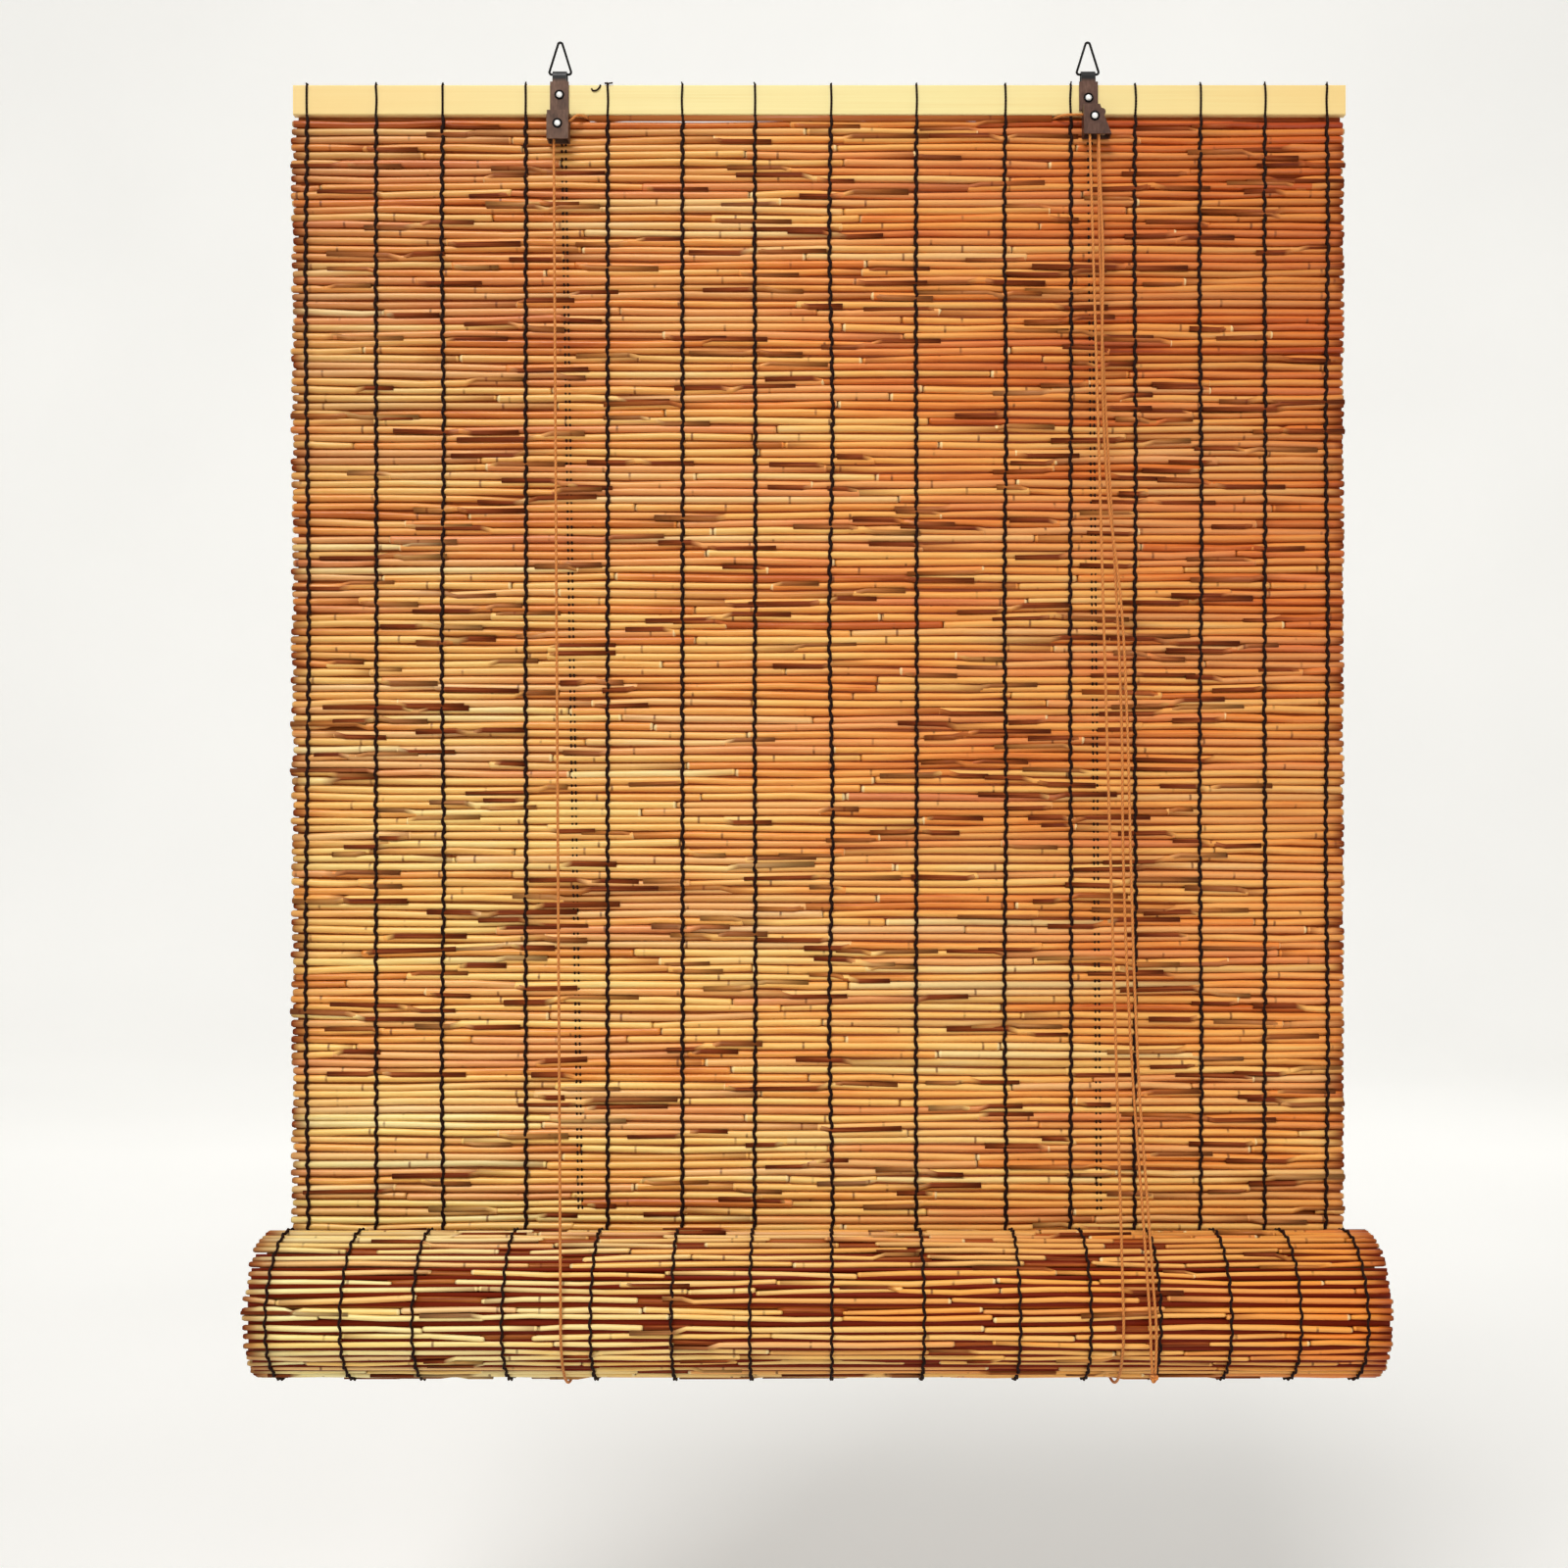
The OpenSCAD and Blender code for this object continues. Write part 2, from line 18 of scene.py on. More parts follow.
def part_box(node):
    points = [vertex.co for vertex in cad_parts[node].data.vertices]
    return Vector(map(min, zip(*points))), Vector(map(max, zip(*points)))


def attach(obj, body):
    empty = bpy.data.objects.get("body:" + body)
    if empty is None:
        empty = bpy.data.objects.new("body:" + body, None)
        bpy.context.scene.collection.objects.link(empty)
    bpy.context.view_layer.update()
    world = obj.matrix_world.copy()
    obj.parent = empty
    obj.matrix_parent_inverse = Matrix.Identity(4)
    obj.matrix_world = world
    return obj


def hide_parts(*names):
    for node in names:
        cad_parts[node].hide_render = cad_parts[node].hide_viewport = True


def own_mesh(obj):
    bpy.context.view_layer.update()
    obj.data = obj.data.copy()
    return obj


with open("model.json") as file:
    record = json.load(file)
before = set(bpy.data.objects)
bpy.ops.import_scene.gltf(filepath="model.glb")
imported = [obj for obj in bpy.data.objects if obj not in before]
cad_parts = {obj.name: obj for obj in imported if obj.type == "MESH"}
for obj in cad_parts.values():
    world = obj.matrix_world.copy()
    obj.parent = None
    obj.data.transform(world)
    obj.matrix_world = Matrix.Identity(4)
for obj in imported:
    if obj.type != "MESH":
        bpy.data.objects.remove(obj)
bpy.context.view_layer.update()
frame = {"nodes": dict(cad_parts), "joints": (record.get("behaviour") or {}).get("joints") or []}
nodes = frame["nodes"]
joints = {joint["name"]: joint for joint in frame["joints"]}
ROLL_Y, ROLL_Z = joints["roll_turn"]["pos_m"][1:]

# %% [markdown]
# ## Camera
# The photograph was taken level, at about the height of the mat's middle. The focal length is
# worked out from the blind's width in pixels. A small sideways shift puts the blind's middle
# where the photograph has it, right of the image's middle, without turning the camera.

# %% Camera
IMAGE_PIXELS = 1600
MIDDLE_COLUMN = 836
FOCAL_PIXELS = 1785.7
SENSOR_MM = 36
CAMERA_AT = (0, -1.5, -0.598)


def add_object(name, data):
    added = bpy.data.objects.new(name, data)
    bpy.context.scene.collection.objects.link(added)
    return added


camera_data = bpy.data.cameras.new("camera")
camera_data.sensor_width = SENSOR_MM
camera_data.lens = FOCAL_PIXELS * SENSOR_MM / IMAGE_PIXELS
camera_data.shift_x = (IMAGE_PIXELS / 2 - MIDDLE_COLUMN) / IMAGE_PIXELS
camera = add_object("camera", camera_data)
camera.location = CAMERA_AT
camera.rotation_euler = (math.pi / 2, 0, 0)
bpy.context.scene.camera = camera
print("camera: lens", round(camera_data.lens, 2), "mm, shift", camera_data.shift_x)

# %% [markdown]
# ## Sizes
# A few sizes drive everything that follows. The reeds' pitch and the roll's spiral are those of
# the solids, so each reed of this scene lies on a ridge of the mat below it.

# %% Sizes
MM = 0.001
MAT_LOW, MAT_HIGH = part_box("hanging_mat")
BLIND_W = MAT_HIGH[0] - MAT_LOW[0]
HEADER_LOW, HEADER_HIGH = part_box("header_slat")
HEADER_FRONT, HEADER_BACK = HEADER_LOW[1], HEADER_HIGH[1]
HEADER_BOTTOM = HEADER_LOW[2]
REED_R = MAT_HIGH[1]
REED_PITCH = 6.7 * MM
ROWS = 148
FIRST_ROW_Z = MAT_HIGH[2] - REED_R
LAST_ROW_Z = FIRST_ROW_Z - (ROWS - 1) * REED_PITCH
ROLL_R = -ROLL_Y
ROLL_TURNS = 6
TURN_PITCH = 7.4 * MM
TURN_STEP = 120
CORD_D = 2.4 * MM
WARP_X = [-0.438, -0.379, -0.322, -0.251, -0.181, -0.117, -0.055, 0.01,
          0.083, 0.159, 0.215, 0.27, 0.326, 0.381, 0.434]
print("mat:", ROWS, "rows, lowest row at", round(LAST_ROW_Z, 4))

# %% [markdown]
# ## Helpers for pieces
# A new piece is one bmesh. `finish_piece` turns it into an object at the origin, gives it a finish
# and makes it ride on a body. While the roll is lifted, the mat goes into it. The rows that still
# hang below the header slat at the end of the lift are pieces of their own, and keep their shape.
# What is below them shortens; `shorten_with_lift` only gives such a piece a mesh of its own.

# %% Pieces
STAYING_ROWS = 16
STAYING_Z = FIRST_ROW_Z - (STAYING_ROWS - 0.5) * REED_PITCH


def make_object(name, bm, finish):
    for face in bm.faces:
        face.smooth = True
    mesh = bpy.data.meshes.new(name)
    bm.to_mesh(mesh)
    bm.free()
    mesh.materials.append(finish)
    print(name, len(mesh.polygons), "faces")
    return add_object(name, mesh)


def finish_piece(name, bm, finish, replaced=(), body="header"):
    bmesh.ops.recalc_face_normals(bm, faces=bm.faces)
    piece = make_object(name, bm, finish)
    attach(piece, body)
    if replaced:
        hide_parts(*replaced)
    return piece


def shorten_with_lift(piece):
    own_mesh(piece)


def hang_in_two(name, upper, lower, finish, replaced=()):
    """Two pieces of the mat: the rows that stay when the roll is lifted, and the rest, which get a
    mesh of their own.
    """
    finish_piece(f"upper_{name}", upper, finish)
    wound_up = finish_piece(name, lower, finish, replaced)
    shorten_with_lift(wound_up)


# %% [markdown]
# ## Helpers for node trees
# Each method adds one or a few nodes and returns an output. Inputs are given as a constant or as
# the output of another node. Colours are written as they look on screen and turned into linear
# light.

# %% Node trees
def linear_light(level):
    share = level / 255
    return ((share + 0.055) / 1.055) ** 2.4 if share > 0.04045 else share / 12.92


def screen_colour(*levels):
    return (*map(linear_light, levels), 1)


class Nodes:
    """A node tree, and short ways to add to it."""

    def __init__(self, tree):
        self.tree = tree

    def put(self, node, inputs):
        for name, value in inputs.items():
            if isinstance(value, (int, float, tuple)):
                node.inputs[name].default_value = value
            else:
                self.tree.links.new(value, node.inputs[name])

    def add(self, kind, inputs=None, **settings):
        node = self.tree.nodes.new("ShaderNode" + kind)
        for name, value in settings.items():
            setattr(node, name, value)
        self.put(node, inputs or {})
        return node.outputs

    def math(self, operation, first, second=0):
        return self.add("Math", {0: first, 1: second}, operation=operation)["Value"]

    def map_range(self, value, start, end, low, high):
        return self.add("MapRange", {"Value": value, "From Min": start, "From Max": end,
                                     "To Min": low, "To Max": high})["Result"]

    def spread(self, value, low, high):
        """Stretches a value from 0..1 to low..high."""
        return self.map_range(value, 0, 1, low, high)

    def band(self, value, start, end, most=1):
        """Rises from 0 to most while the value goes from start to end."""
        return self.map_range(value, start, end, 0, most)

    def seen_directly(self):
        """1 for rays from the camera, also by way of a mirror or glass, and 0 for all others."""
        rays = self.add("LightPath")
        seen = self.math("MAXIMUM", rays["Is Camera Ray"], rays["Is Glossy Ray"])
        return self.math("MAXIMUM", seen, rays["Is Transmission Ray"])


# %% [markdown]
# ## Helpers for finishes
# Every finish is a Principled shader fed by noise in Object coordinates or by an attribute that
# the mesh carries.

# %% Finishes
WHITE = screen_colour(255, 255, 255)


class Finish(Nodes):
    """A material under construction. The shader's inputs are named with _ for each space."""

    def __init__(self, name, **inputs):
        self.material = bpy.data.materials.new(name)
        self.material.use_nodes = True
        super().__init__(self.material.node_tree)
        self.shade(**inputs)

    def shade(self, **inputs):
        shader = self.tree.nodes["Principled BSDF"]
        self.put(shader, {name.replace("_", " "): value for name, value in inputs.items()})

    def place(self):
        return self.add("TexCoord")["Object"]

    def axes(self):
        """X, Y and Z in Object coordinates."""
        return self.add("SeparateXYZ", {"Vector": self.place()})

    def noise(self, scale, detail=2, roughness=0.5):
        """Noise in Object coordinates; scale is how fine it is along X, Y and Z."""
        stretched = self.add("Mapping", {"Vector": self.place(), "Scale": scale})["Vector"]
        return self.add("TexNoise", {"Vector": stretched, "Scale": 1, "Detail": detail,
                                     "Roughness": roughness})["Fac"]

    def attribute(self, name):
        return self.add("Attribute", attribute_name=name)["Fac"]

    def ramp(self, value, stops):
        colour = self.add("ValToRGB", {"Fac": value})["Color"]
        elements = colour.node.color_ramp.elements
        while len(elements) < len(stops):
            elements.new(1)
        for element, (position, levels) in zip(elements, stops):
            element.position = position
            element.color = screen_colour(*levels)
        return colour

    def mix(self, factor, first, second, blend="MIX"):
        return self.add("Mix", {"Factor": factor, 6: first, 7: second},
                        data_type="RGBA", blend_type=blend)[2]

    def stain_and_shade(self, base, amount, levels, unstained=WHITE):
        """Darkens a colour by a stain or by painted shade, as far as the amount says."""
        return self.mix(1.0, base, self.mix(amount, unstained, screen_colour(*levels)), "MULTIPLY")

    def bump(self, height, strength, depth):
        inputs = {"Height": height, "Strength": strength, "Distance": depth}
        self.shade(Normal=self.add("Bump", inputs)["Normal"])


def mottled(name, scale, dark, light, detail=2, bump=0, depth=0.0002, **inputs):
    """A finish in two colours that run into each other."""
    finish = Finish(name, **inputs)
    pattern = finish.noise(scale, detail)
    finish.shade(Base_Color=finish.ramp(pattern, [(0.3, dark), (0.7, light)]))
    if bump:
        finish.bump(pattern, bump, depth)
    return finish


# %% [markdown]
# ## Reed finish
# A varnished reed is golden, streaked along its length, with a pale cut end and often a dark,
# matt remnant of its leaf sheath at the thin end. Each reed's own tone, the pale end, the sheath
# and the painted shade in its hollow ends and in the gaps are attributes that the mesh carries, so
# no two reeds look alike. The mat was not varnished evenly: it is ruddier towards its right side
# and its top, and so is the roll. It is also darker towards its top corners. Painted shade darkens
# the underside of each reed, and the ends of the reeds, those of the roll most. Every reed has a
# few scars where its leaves grew, at places that follow from its own tone.

# %% Reed finish
RUDDY_RIGHT = 0.55
RUDDY_TOP = 0.36
ROSY_SHARE = 0.45
# The mat is darker towards its top corners.
DARKER_FROM_Z = 0.8 * LAST_ROW_Z
DARKER_SIDES_X = 0.4
ROLL_FRONT = (-12 * MM, -30 * MM)
# The outer ends of the reeds are darkened with painted shade, those of the roll most.
END_SHADE_X = BLIND_W / 2 - 24 * MM
END_SHADE_MAT, END_SHADE_ROLL = 0.3, 0.75
# How much painted shade darkens the underside of each reed, as if lit from above.
UNDERSIDE_SHADE = 0.35
SCARS_A_METRE = 6.5
SCAR_EDGE = (0.009, 0.004)


def reed_skin(reed, own_tone, streaks):
    """The varnished skin of a reed: golden, rosy on some, and stained by its place on the blind."""
    blotches = reed.noise((22, 130, 130), detail=2)
    regions = reed.noise((5, 1, 6), detail=1)
    tone = own_tone
    for pattern, reach in ((streaks, 0.3), (blotches, 0.2), (regions, 0.35)):
        tone = reed.math("ADD", tone, reed.spread(pattern, -reach, reach))
    skin = reed.ramp(tone, [(0.0, (200, 108, 38)), (0.25, (242, 165, 80)), (0.5, (255, 206, 118)),
                            (0.75, (255, 226, 142)), (1.0, (255, 243, 182))])
    chance = reed.math("FRACT", reed.math("MULTIPLY", own_tone, 7.3))
    skin = reed.mix(reed.band(chance, 0.55, 0.9, ROSY_SHARE), skin, screen_colour(238, 172, 130))
    x, y, z = reed.axes()
    to_right = reed.band(x, -BLIND_W / 2, BLIND_W / 2)
    from_middle = reed.math("ABSOLUTE", x)
    on_roll = reed.band(y, *ROLL_FRONT)
    ruddy = reed.math("ADD", reed.math("MULTIPLY", to_right, RUDDY_RIGHT),
                      reed.band(z, LAST_ROW_Z, FIRST_ROW_Z, RUDDY_TOP))
    # Darker towards the top, and more so away from the middle.
    darker_top_and_sides = reed.math("MULTIPLY", reed.band(z, DARKER_FROM_Z, FIRST_ROW_Z),
                          reed.band(from_middle, 0, DARKER_SIDES_X))
    # Painted shade on the outer ends of the reeds.
    end_shade = reed.math("MULTIPLY", reed.spread(on_roll, END_SHADE_MAT, END_SHADE_ROLL),
                        reed.band(from_middle, END_SHADE_X, BLIND_W / 2))
    # Painted shade: the underside of each reed is darker.
    under = reed.math("MULTIPLY", reed.attribute("underside"), UNDERSIDE_SHADE)
    skin = reed.stain_and_shade(skin, ruddy, (234, 166, 112), unstained=screen_colour(255, 255, 244))
    skin = reed.stain_and_shade(skin, darker_top_and_sides, (230, 217, 221))
    skin = reed.stain_and_shade(skin, reed.math("MULTIPLY", on_roll, to_right), (255, 210, 148))
    skin = reed.stain_and_shade(skin, end_shade, (176, 124, 84))
    skin = reed.stain_and_shade(skin, under, (192, 122, 70))
    counted = reed.math("ADD", reed.math("MULTIPLY", x, SCARS_A_METRE),
                        reed.math("MULTIPLY", own_tone, 53))
    from_scar = reed.math("ABSOLUTE", reed.math("SUBTRACT", reed.math("FRACT", counted), 0.5))
    scar = reed.math("MULTIPLY", reed.band(from_scar, *SCAR_EDGE),
                     reed.band(blotches, 0.42, 0.6, 0.75))
    return reed.mix(scar, skin, screen_colour(104, 48, 18))


def reed_finish():
    reed = Finish("varnished_reed", Coat_Roughness=0.25, Specular_IOR_Level=0.15)
    own_tone, is_sheath, is_pale, recess_shade = map(reed.attribute, ("tone", "sheath", "pale", "recess_shade"))
    streaks = reed.noise((14, 900, 900), detail=3, roughness=0.6)
    sheath = reed.ramp(streaks, [(0.3, (84, 25, 3)), (0.52, (130, 55, 15)), (0.75, (172, 92, 42))])
    coloured = reed.mix(is_sheath, reed_skin(reed, own_tone, streaks), sheath)
    coloured = reed.mix(is_pale, coloured, screen_colour(255, 232, 170))
    # Painted shade in the hollow reed ends and in the gaps between rows, in dark red-brown.
    coloured = reed.mix(recess_shade, coloured, screen_colour(118, 30, 2))
    varnished = reed.math("SUBTRACT", 1, reed.math("MAXIMUM", is_sheath, recess_shade))
    matt = reed.math("MULTIPLY", is_sheath, 0.3)
    reed.shade(Base_Color=coloured, Coat_Weight=reed.math("MULTIPLY", varnished, 0.32),
               Roughness=reed.math("ADD", reed.spread(streaks, 0.3, 0.5), matt))
    reed.bump(streaks, 0.35, 0.0004)
    return reed.material


REED_FINISH = reed_finish()
print("finish:", REED_FINISH.name)

# %% [markdown]
# ## One reed
# A reed starts as a cone with eight stations along its length and a hollow sunk into each end by
# an inset. The stations are then moved to where this reed has its cut end, its bow and its
# sheath, so one small mesh serves for hundreds of different reeds.

# %% Reed master
REED_SIDES = 8
STATIONS = 8
LAST = STATIONS - 1
WALL_SHARE = 0.3
HOLLOW_DEPTH = 0.4


def reed_master():
    bm = bmesh.new()
    bmesh.ops.create_cone(bm, cap_ends=True, cap_tris=False, segments=REED_SIDES,
                          radius1=1, radius2=1, depth=LAST)
    bmesh.ops.translate(bm, verts=bm.verts, vec=(0, 0, LAST / 2))
    ends = [face for face in bm.faces if abs(face.normal.z) > 0.9]
    bmesh.ops.inset_individual(bm, faces=ends, thickness=WALL_SHARE, depth=-HOLLOW_DEPTH)
    for station in range(1, LAST):
        everything = bm.verts[:] + bm.edges[:] + bm.faces[:]
        bmesh.ops.bisect_plane(bm, geom=everything, plane_co=(0, 0, station), plane_no=(0, 0, 1))
    mesh = bpy.data.meshes.new("reed_master")
    bm.to_mesh(mesh)
    bm.free()
    return mesh


MASTER = reed_master()
MASTER_SHAPE = np.array([vert.co for vert in MASTER.vertices])
MASTER_Z = MASTER_SHAPE[:, 2]
# The vertices inside the hollow ends, which carry painted shade.
IN_HOLLOW = np.hypot(MASTER_SHAPE[:, 0], MASTER_SHAPE[:, 1]) < 0.9
# How far each vertex lies on a reed's underside: the mask for the painted shade there.
UNDERSIDE = np.clip(-MASTER_SHAPE[:, 1], 0, 1)


def along(given):
    """Spreads values at the stations, or one value for all of them, over the master's vertices."""
    return np.interp(MASTER_Z, range(STATIONS), np.broadcast_to(given, STATIONS))


print("one reed has", len(MASTER.polygons), "faces")

# %% [markdown]
# ## Rows of reeds
# A row is several reeds laid end to end. Where one runs out, the thin dark rest of its sheath lies
# in the groove beside the next one. Neighbouring rows stray up and down together, as reeds do that
# are not quite straight. A row is given by its place and by the way outwards, so the same code
# fills the flat mat and the turns of the roll. On the roll a row may also break off, and a reed of
# the turn below shows in the break, painted brown as shade.

# %% Reeds in a row
MOST_SHEATH = 0.6
SHEATH_LENGTHS = (0.02, 0.085, 0.04)
SHEATH_SHARE = (0.52, 0.78)
SHEATH_OUT = 2.0 * MM
SHEATH_LEAN = 0.36 * REED_PITCH
KINK = 10 * MM
CUT_EDGE = 1.8 * MM
PLAIN_END = 3 * MM
# The top row, just under the header slat, gets a low tone: painted shade under the slat.
TOP_ROW_TONE = 0.1
TONE_SPREAD = 0.17
LEFT_OUT = 3 * MM
FIRST_REED = (0.02, 0.25)
SHORTEST_REED = 0.02
REED_GAP = 0.3 * MM
BREAK_ROOM = 0.1
BREAK_REACH = (0.012, 0.075, 0.03)
BREAK_LAP = 4 * MM
BREAK_SUNK = 1.5 * MM
FLATTENED = 0.45
STRAYS = [(0.55 * MM, 1.7, 0.061, 0.3), (0.5 * MM, 3.9, 0.113, 2.1),
          (0.42 * MM, 7.3, 0.29, 4.0), (0.3 * MM, 11.9, 0.47, 1.1)]


def stray(x, row_number):
    return sum(reach * math.sin(2 * math.pi * (x * across + row_number * down) + start)
               for reach, across, down, start in STRAYS)


class ReedBed:
    """A bmesh that gathers reeds, with the attributes that the reed finish reads."""

    LAYERS = ("tone", "sheath", "pale", "recess_shade", "underside")

    def __init__(self, rnd, thick, slope, bright, lengths, sheathed, breaks=0.0):
        self.random = rnd
        self.thick, self.slope, self.bright, self.lengths = thick, slope, bright, lengths
        self.sheathed, self.breaks = sheathed, breaks
        self.bm = bmesh.new()
        self.layers = {name: self.bm.verts.layers.float.new(name) for name in self.LAYERS}
        self.count = 0

    def put(self, places, radii, values, bow, row):
        """Adds one reed. All but the row are given at its stations; bow is how far out and up."""
        y, z, outward_y, outward_z = row
        first = len(self.bm.verts)
        self.bm.from_mesh(MASTER)
        self.bm.verts.ensure_lookup_table()
        out = MASTER_SHAPE[:, 0] * along(radii) + along(bow[0])
        up = MASTER_SHAPE[:, 1] * along(radii) + along(bow[1])
        shape_y = y + outward_y * out + outward_z * up
        shape_z = z + outward_z * out - outward_y * up
        shape = np.stack([along(places), shape_y, shape_z], axis=1)
        levels = {name: along(given) for name, given in values.items()}
        levels["recess_shade"] = IN_HOLLOW * 1.0
        levels["underside"] = UNDERSIDE
        for index, vert in enumerate(self.bm.verts[first:]):
            vert.co = shape[index]
            for name, layer in self.layers.items():
                vert[layer] = levels[name][index]
        self.count += 1

    def reed(self, start, end, row, number, sheath, outermost=False):
        """A reed from its butt at start to its thin end, which has a length of dark sheath."""
        rnd, thick = self.random, self.thick
        way = 1 if end > start else -1
        length = abs(end - start)
        sheath = min(sheath, MOST_SHEATH * length)
        bare = length - max(sheath, PLAIN_END)
        kink = min(KINK, 0.5 * sheath) if sheath else 1 * MM
        butt_end = min(rnd.uniform(6, 18) * MM, 0.35 * bare) if outermost else PLAIN_END
        steps = [0, CUT_EDGE, butt_end, 0.4 * bare, 0.75 * bare, bare, bare + kink, length]
        places = [start + way * step for step in steps]
        butt = thick * rnd.uniform(0.86, 1.04)
        thin = butt * rnd.uniform(0.76, 0.95)
        tip = thick * rnd.uniform(*SHEATH_SHARE) if sheath else 0.8 * thin
        taper = 0.5 * (butt + thin)
        radii = [0.72 * butt, butt, butt, butt, taper, thin, tip if sheath else thin, tip]
        tone = rnd.gauss(TOP_ROW_TONE if number == 0 else self.bright, TONE_SPREAD)
        tone = min(max(tone, 0.02), 0.98)
        dark = rnd.choice((0.65, 0.85, 1.0, 1.0)) if sheath else 0.0
        worn = rnd.choice((0.0, 0.0, 0.2, 0.55))
        husk = rnd.choice((0.0, 0.0, 0.0, 0.35)) * worn
        stub = rnd.choice((0.0, 0.3, 0.7, 1.0)) if outermost else 0.0
        rim = 0.0 if outermost else rnd.choice((0.0, 0.0, 0.7))
        cut_end = max(rim, rnd.choice((0.0, 0.3, 0.8))) * (1 - stub)
        values = {"tone": tone,
                  "sheath": [stub, stub, 0.2 * stub, husk, husk, worn, dark, dark],
                  "pale": [cut_end, rim, 0, 0, 0, 0, 0, 0]}
        bend = rnd.uniform(-0.5, 0.5) * MM
        slope = rnd.uniform(-1, 1) * self.slope
        lean = rnd.choice((-1, 1)) * SHEATH_LEAN if sheath else 0
        up = [stray(x, number) + slope * (step / length - 0.5) for x, step in zip(places, steps)]
        for station, extra in ((3, bend), (4, bend), (6, lean), (7, lean)):
            up[station] += extra
        forward = SHEATH_OUT if sheath else 0
        out = [0, 0, 0, rnd.uniform(-0.5, 0.5) * MM, 0, 0, forward, forward]
        self.put(places, radii, values, (out, up), row)

    def fill_row(self, row, number, width):
        """Lays reeds end to end; a sheath lies over the end of the reed beside it."""
        rnd = self.random
        left = -width / 2 - LEFT_OUT + rnd.uniform(0, 2.5) * MM
        right = width / 2 - rnd.uniform(0, 1.5) * MM
        x = left
        while x < right:
            reach = rnd.uniform(*FIRST_REED) if x == left else rnd.triangular(*self.lengths)
            end = min(x + reach, right)
            if right - end < SHORTEST_REED:
                end = right
            sheath = rnd.triangular(*SHEATH_LENGTHS) if rnd.random() < self.sheathed else 0
            over = sheath + rnd.uniform(0, 3) * MM if sheath else 0
            butt, tip = x + REED_GAP, min(end + over, right)
            if x != left and (end == right or rnd.random() < 0.5):
                butt, tip = end - REED_GAP, max(x - over, left)
            self.reed(butt, tip, row, number, sheath, x == left or end == right)
            x = end
            if self.breaks and right - end > BREAK_ROOM and rnd.random() < self.breaks:
                x = end + rnd.triangular(*BREAK_REACH)
                self.sunken_reed(end, x, row, number)

    def sunken_reed(self, start, end, row, number):
        """A reed of the layer below, seen where a row has a break, painted brown as shade."""
        places = np.linspace(start - BREAK_LAP, end + BREAK_LAP, STATIONS)
        brown = self.random.uniform(0.6, 1.0)
        up = [stray(x, number) for x in places]
        # The layer below is painted brown as shade.
        values = {"tone": 0.15, "sheath": brown, "pale": 0}
        self.put(places, self.thick, values, (-BREAK_SUNK, up), row)

    def dark_reed(self, row, width, thick):
        """A reed across the full width, for a turn that only shows between others, painted dark as
        shade.
        """
        rnd = self.random
        left, right = (-width / 2 + rnd.uniform(0, 4) * MM, width / 2 - rnd.uniform(0, 4) * MM)
        places = np.linspace(left, right, STATIONS)
        # The inner turns are painted dark as shade.
        values = {"tone": 0.2, "sheath": rnd.uniform(0.85, 1.0),
                  "pale": [0.35, 0, 0, 0, 0, 0, 0, 0.35]}
        self.put(places, thick, values, (0, 0), row)

    def valley_reed(self, row, start, end, radius, gloom):
        """A thin flattened reed behind the gap between two rows, painted dark as shade where the
        gap is.
        """
        y, z, outward_y, outward_z = row
        made = bmesh.ops.create_cone(self.bm, cap_ends=True, segments=REED_SIDES,
                                     radius1=radius, radius2=radius, depth=end - start)
        lean = math.atan2(-outward_z, -outward_y)
        turn = Matrix.Translation((0.5 * (start + end), y, z)) @ Matrix.Rotation(-lean, 4, "X")
        turn = turn @ Matrix.Diagonal((1, FLATTENED, 1, 1)) @ Matrix.Rotation(math.pi / 2, 4, "Y")
        bmesh.ops.transform(self.bm, matrix=turn, verts=made["verts"])
        for vert in made["verts"]:
            outwards = (vert.co.y - y) * outward_y + (vert.co.z - z) * outward_z
            # The front of the reed, seen in the gap, is painted dark as shade.
            in_gap_shade = 1.0 if outwards > -0.1 * radius * FLATTENED else 0.2
            vert[self.layers["sheath"]] = 0.5 * in_gap_shade
            vert[self.layers["tone"]] = 0.35
            vert[self.layers["recess_shade"]] = gloom * in_gap_shade


# %% [markdown]
# ## Hanging mat
# The flat part of the mat: its rows of reeds, and behind each gap between two rows a thin reed,
# which keeps daylight out of the gaps as the imported reeds of the real mat do. Its front, seen in
# the gap, is painted dark as shade.

# %% Hanging mat
MAT_THICK = 0.96
VALLEY_R = 3.4 * MM
VALLEY_Y = 1.6 * MM
# How dark the painted shade is in the gaps and in the slit under the header slat.
VALLEY_GLOOM, SLIT_GLOOM = 0.65, 0.4
SLIT_REED_R = 2.6 * MM
SLIT_SHIFT = 3.2 * MM
SLIT_DROP = 1.0 * MM
SLIT_REEDS = [(-0.447, -0.197, 1), (-0.197, 0.199, -1), (0.199, 0.447, 1)]


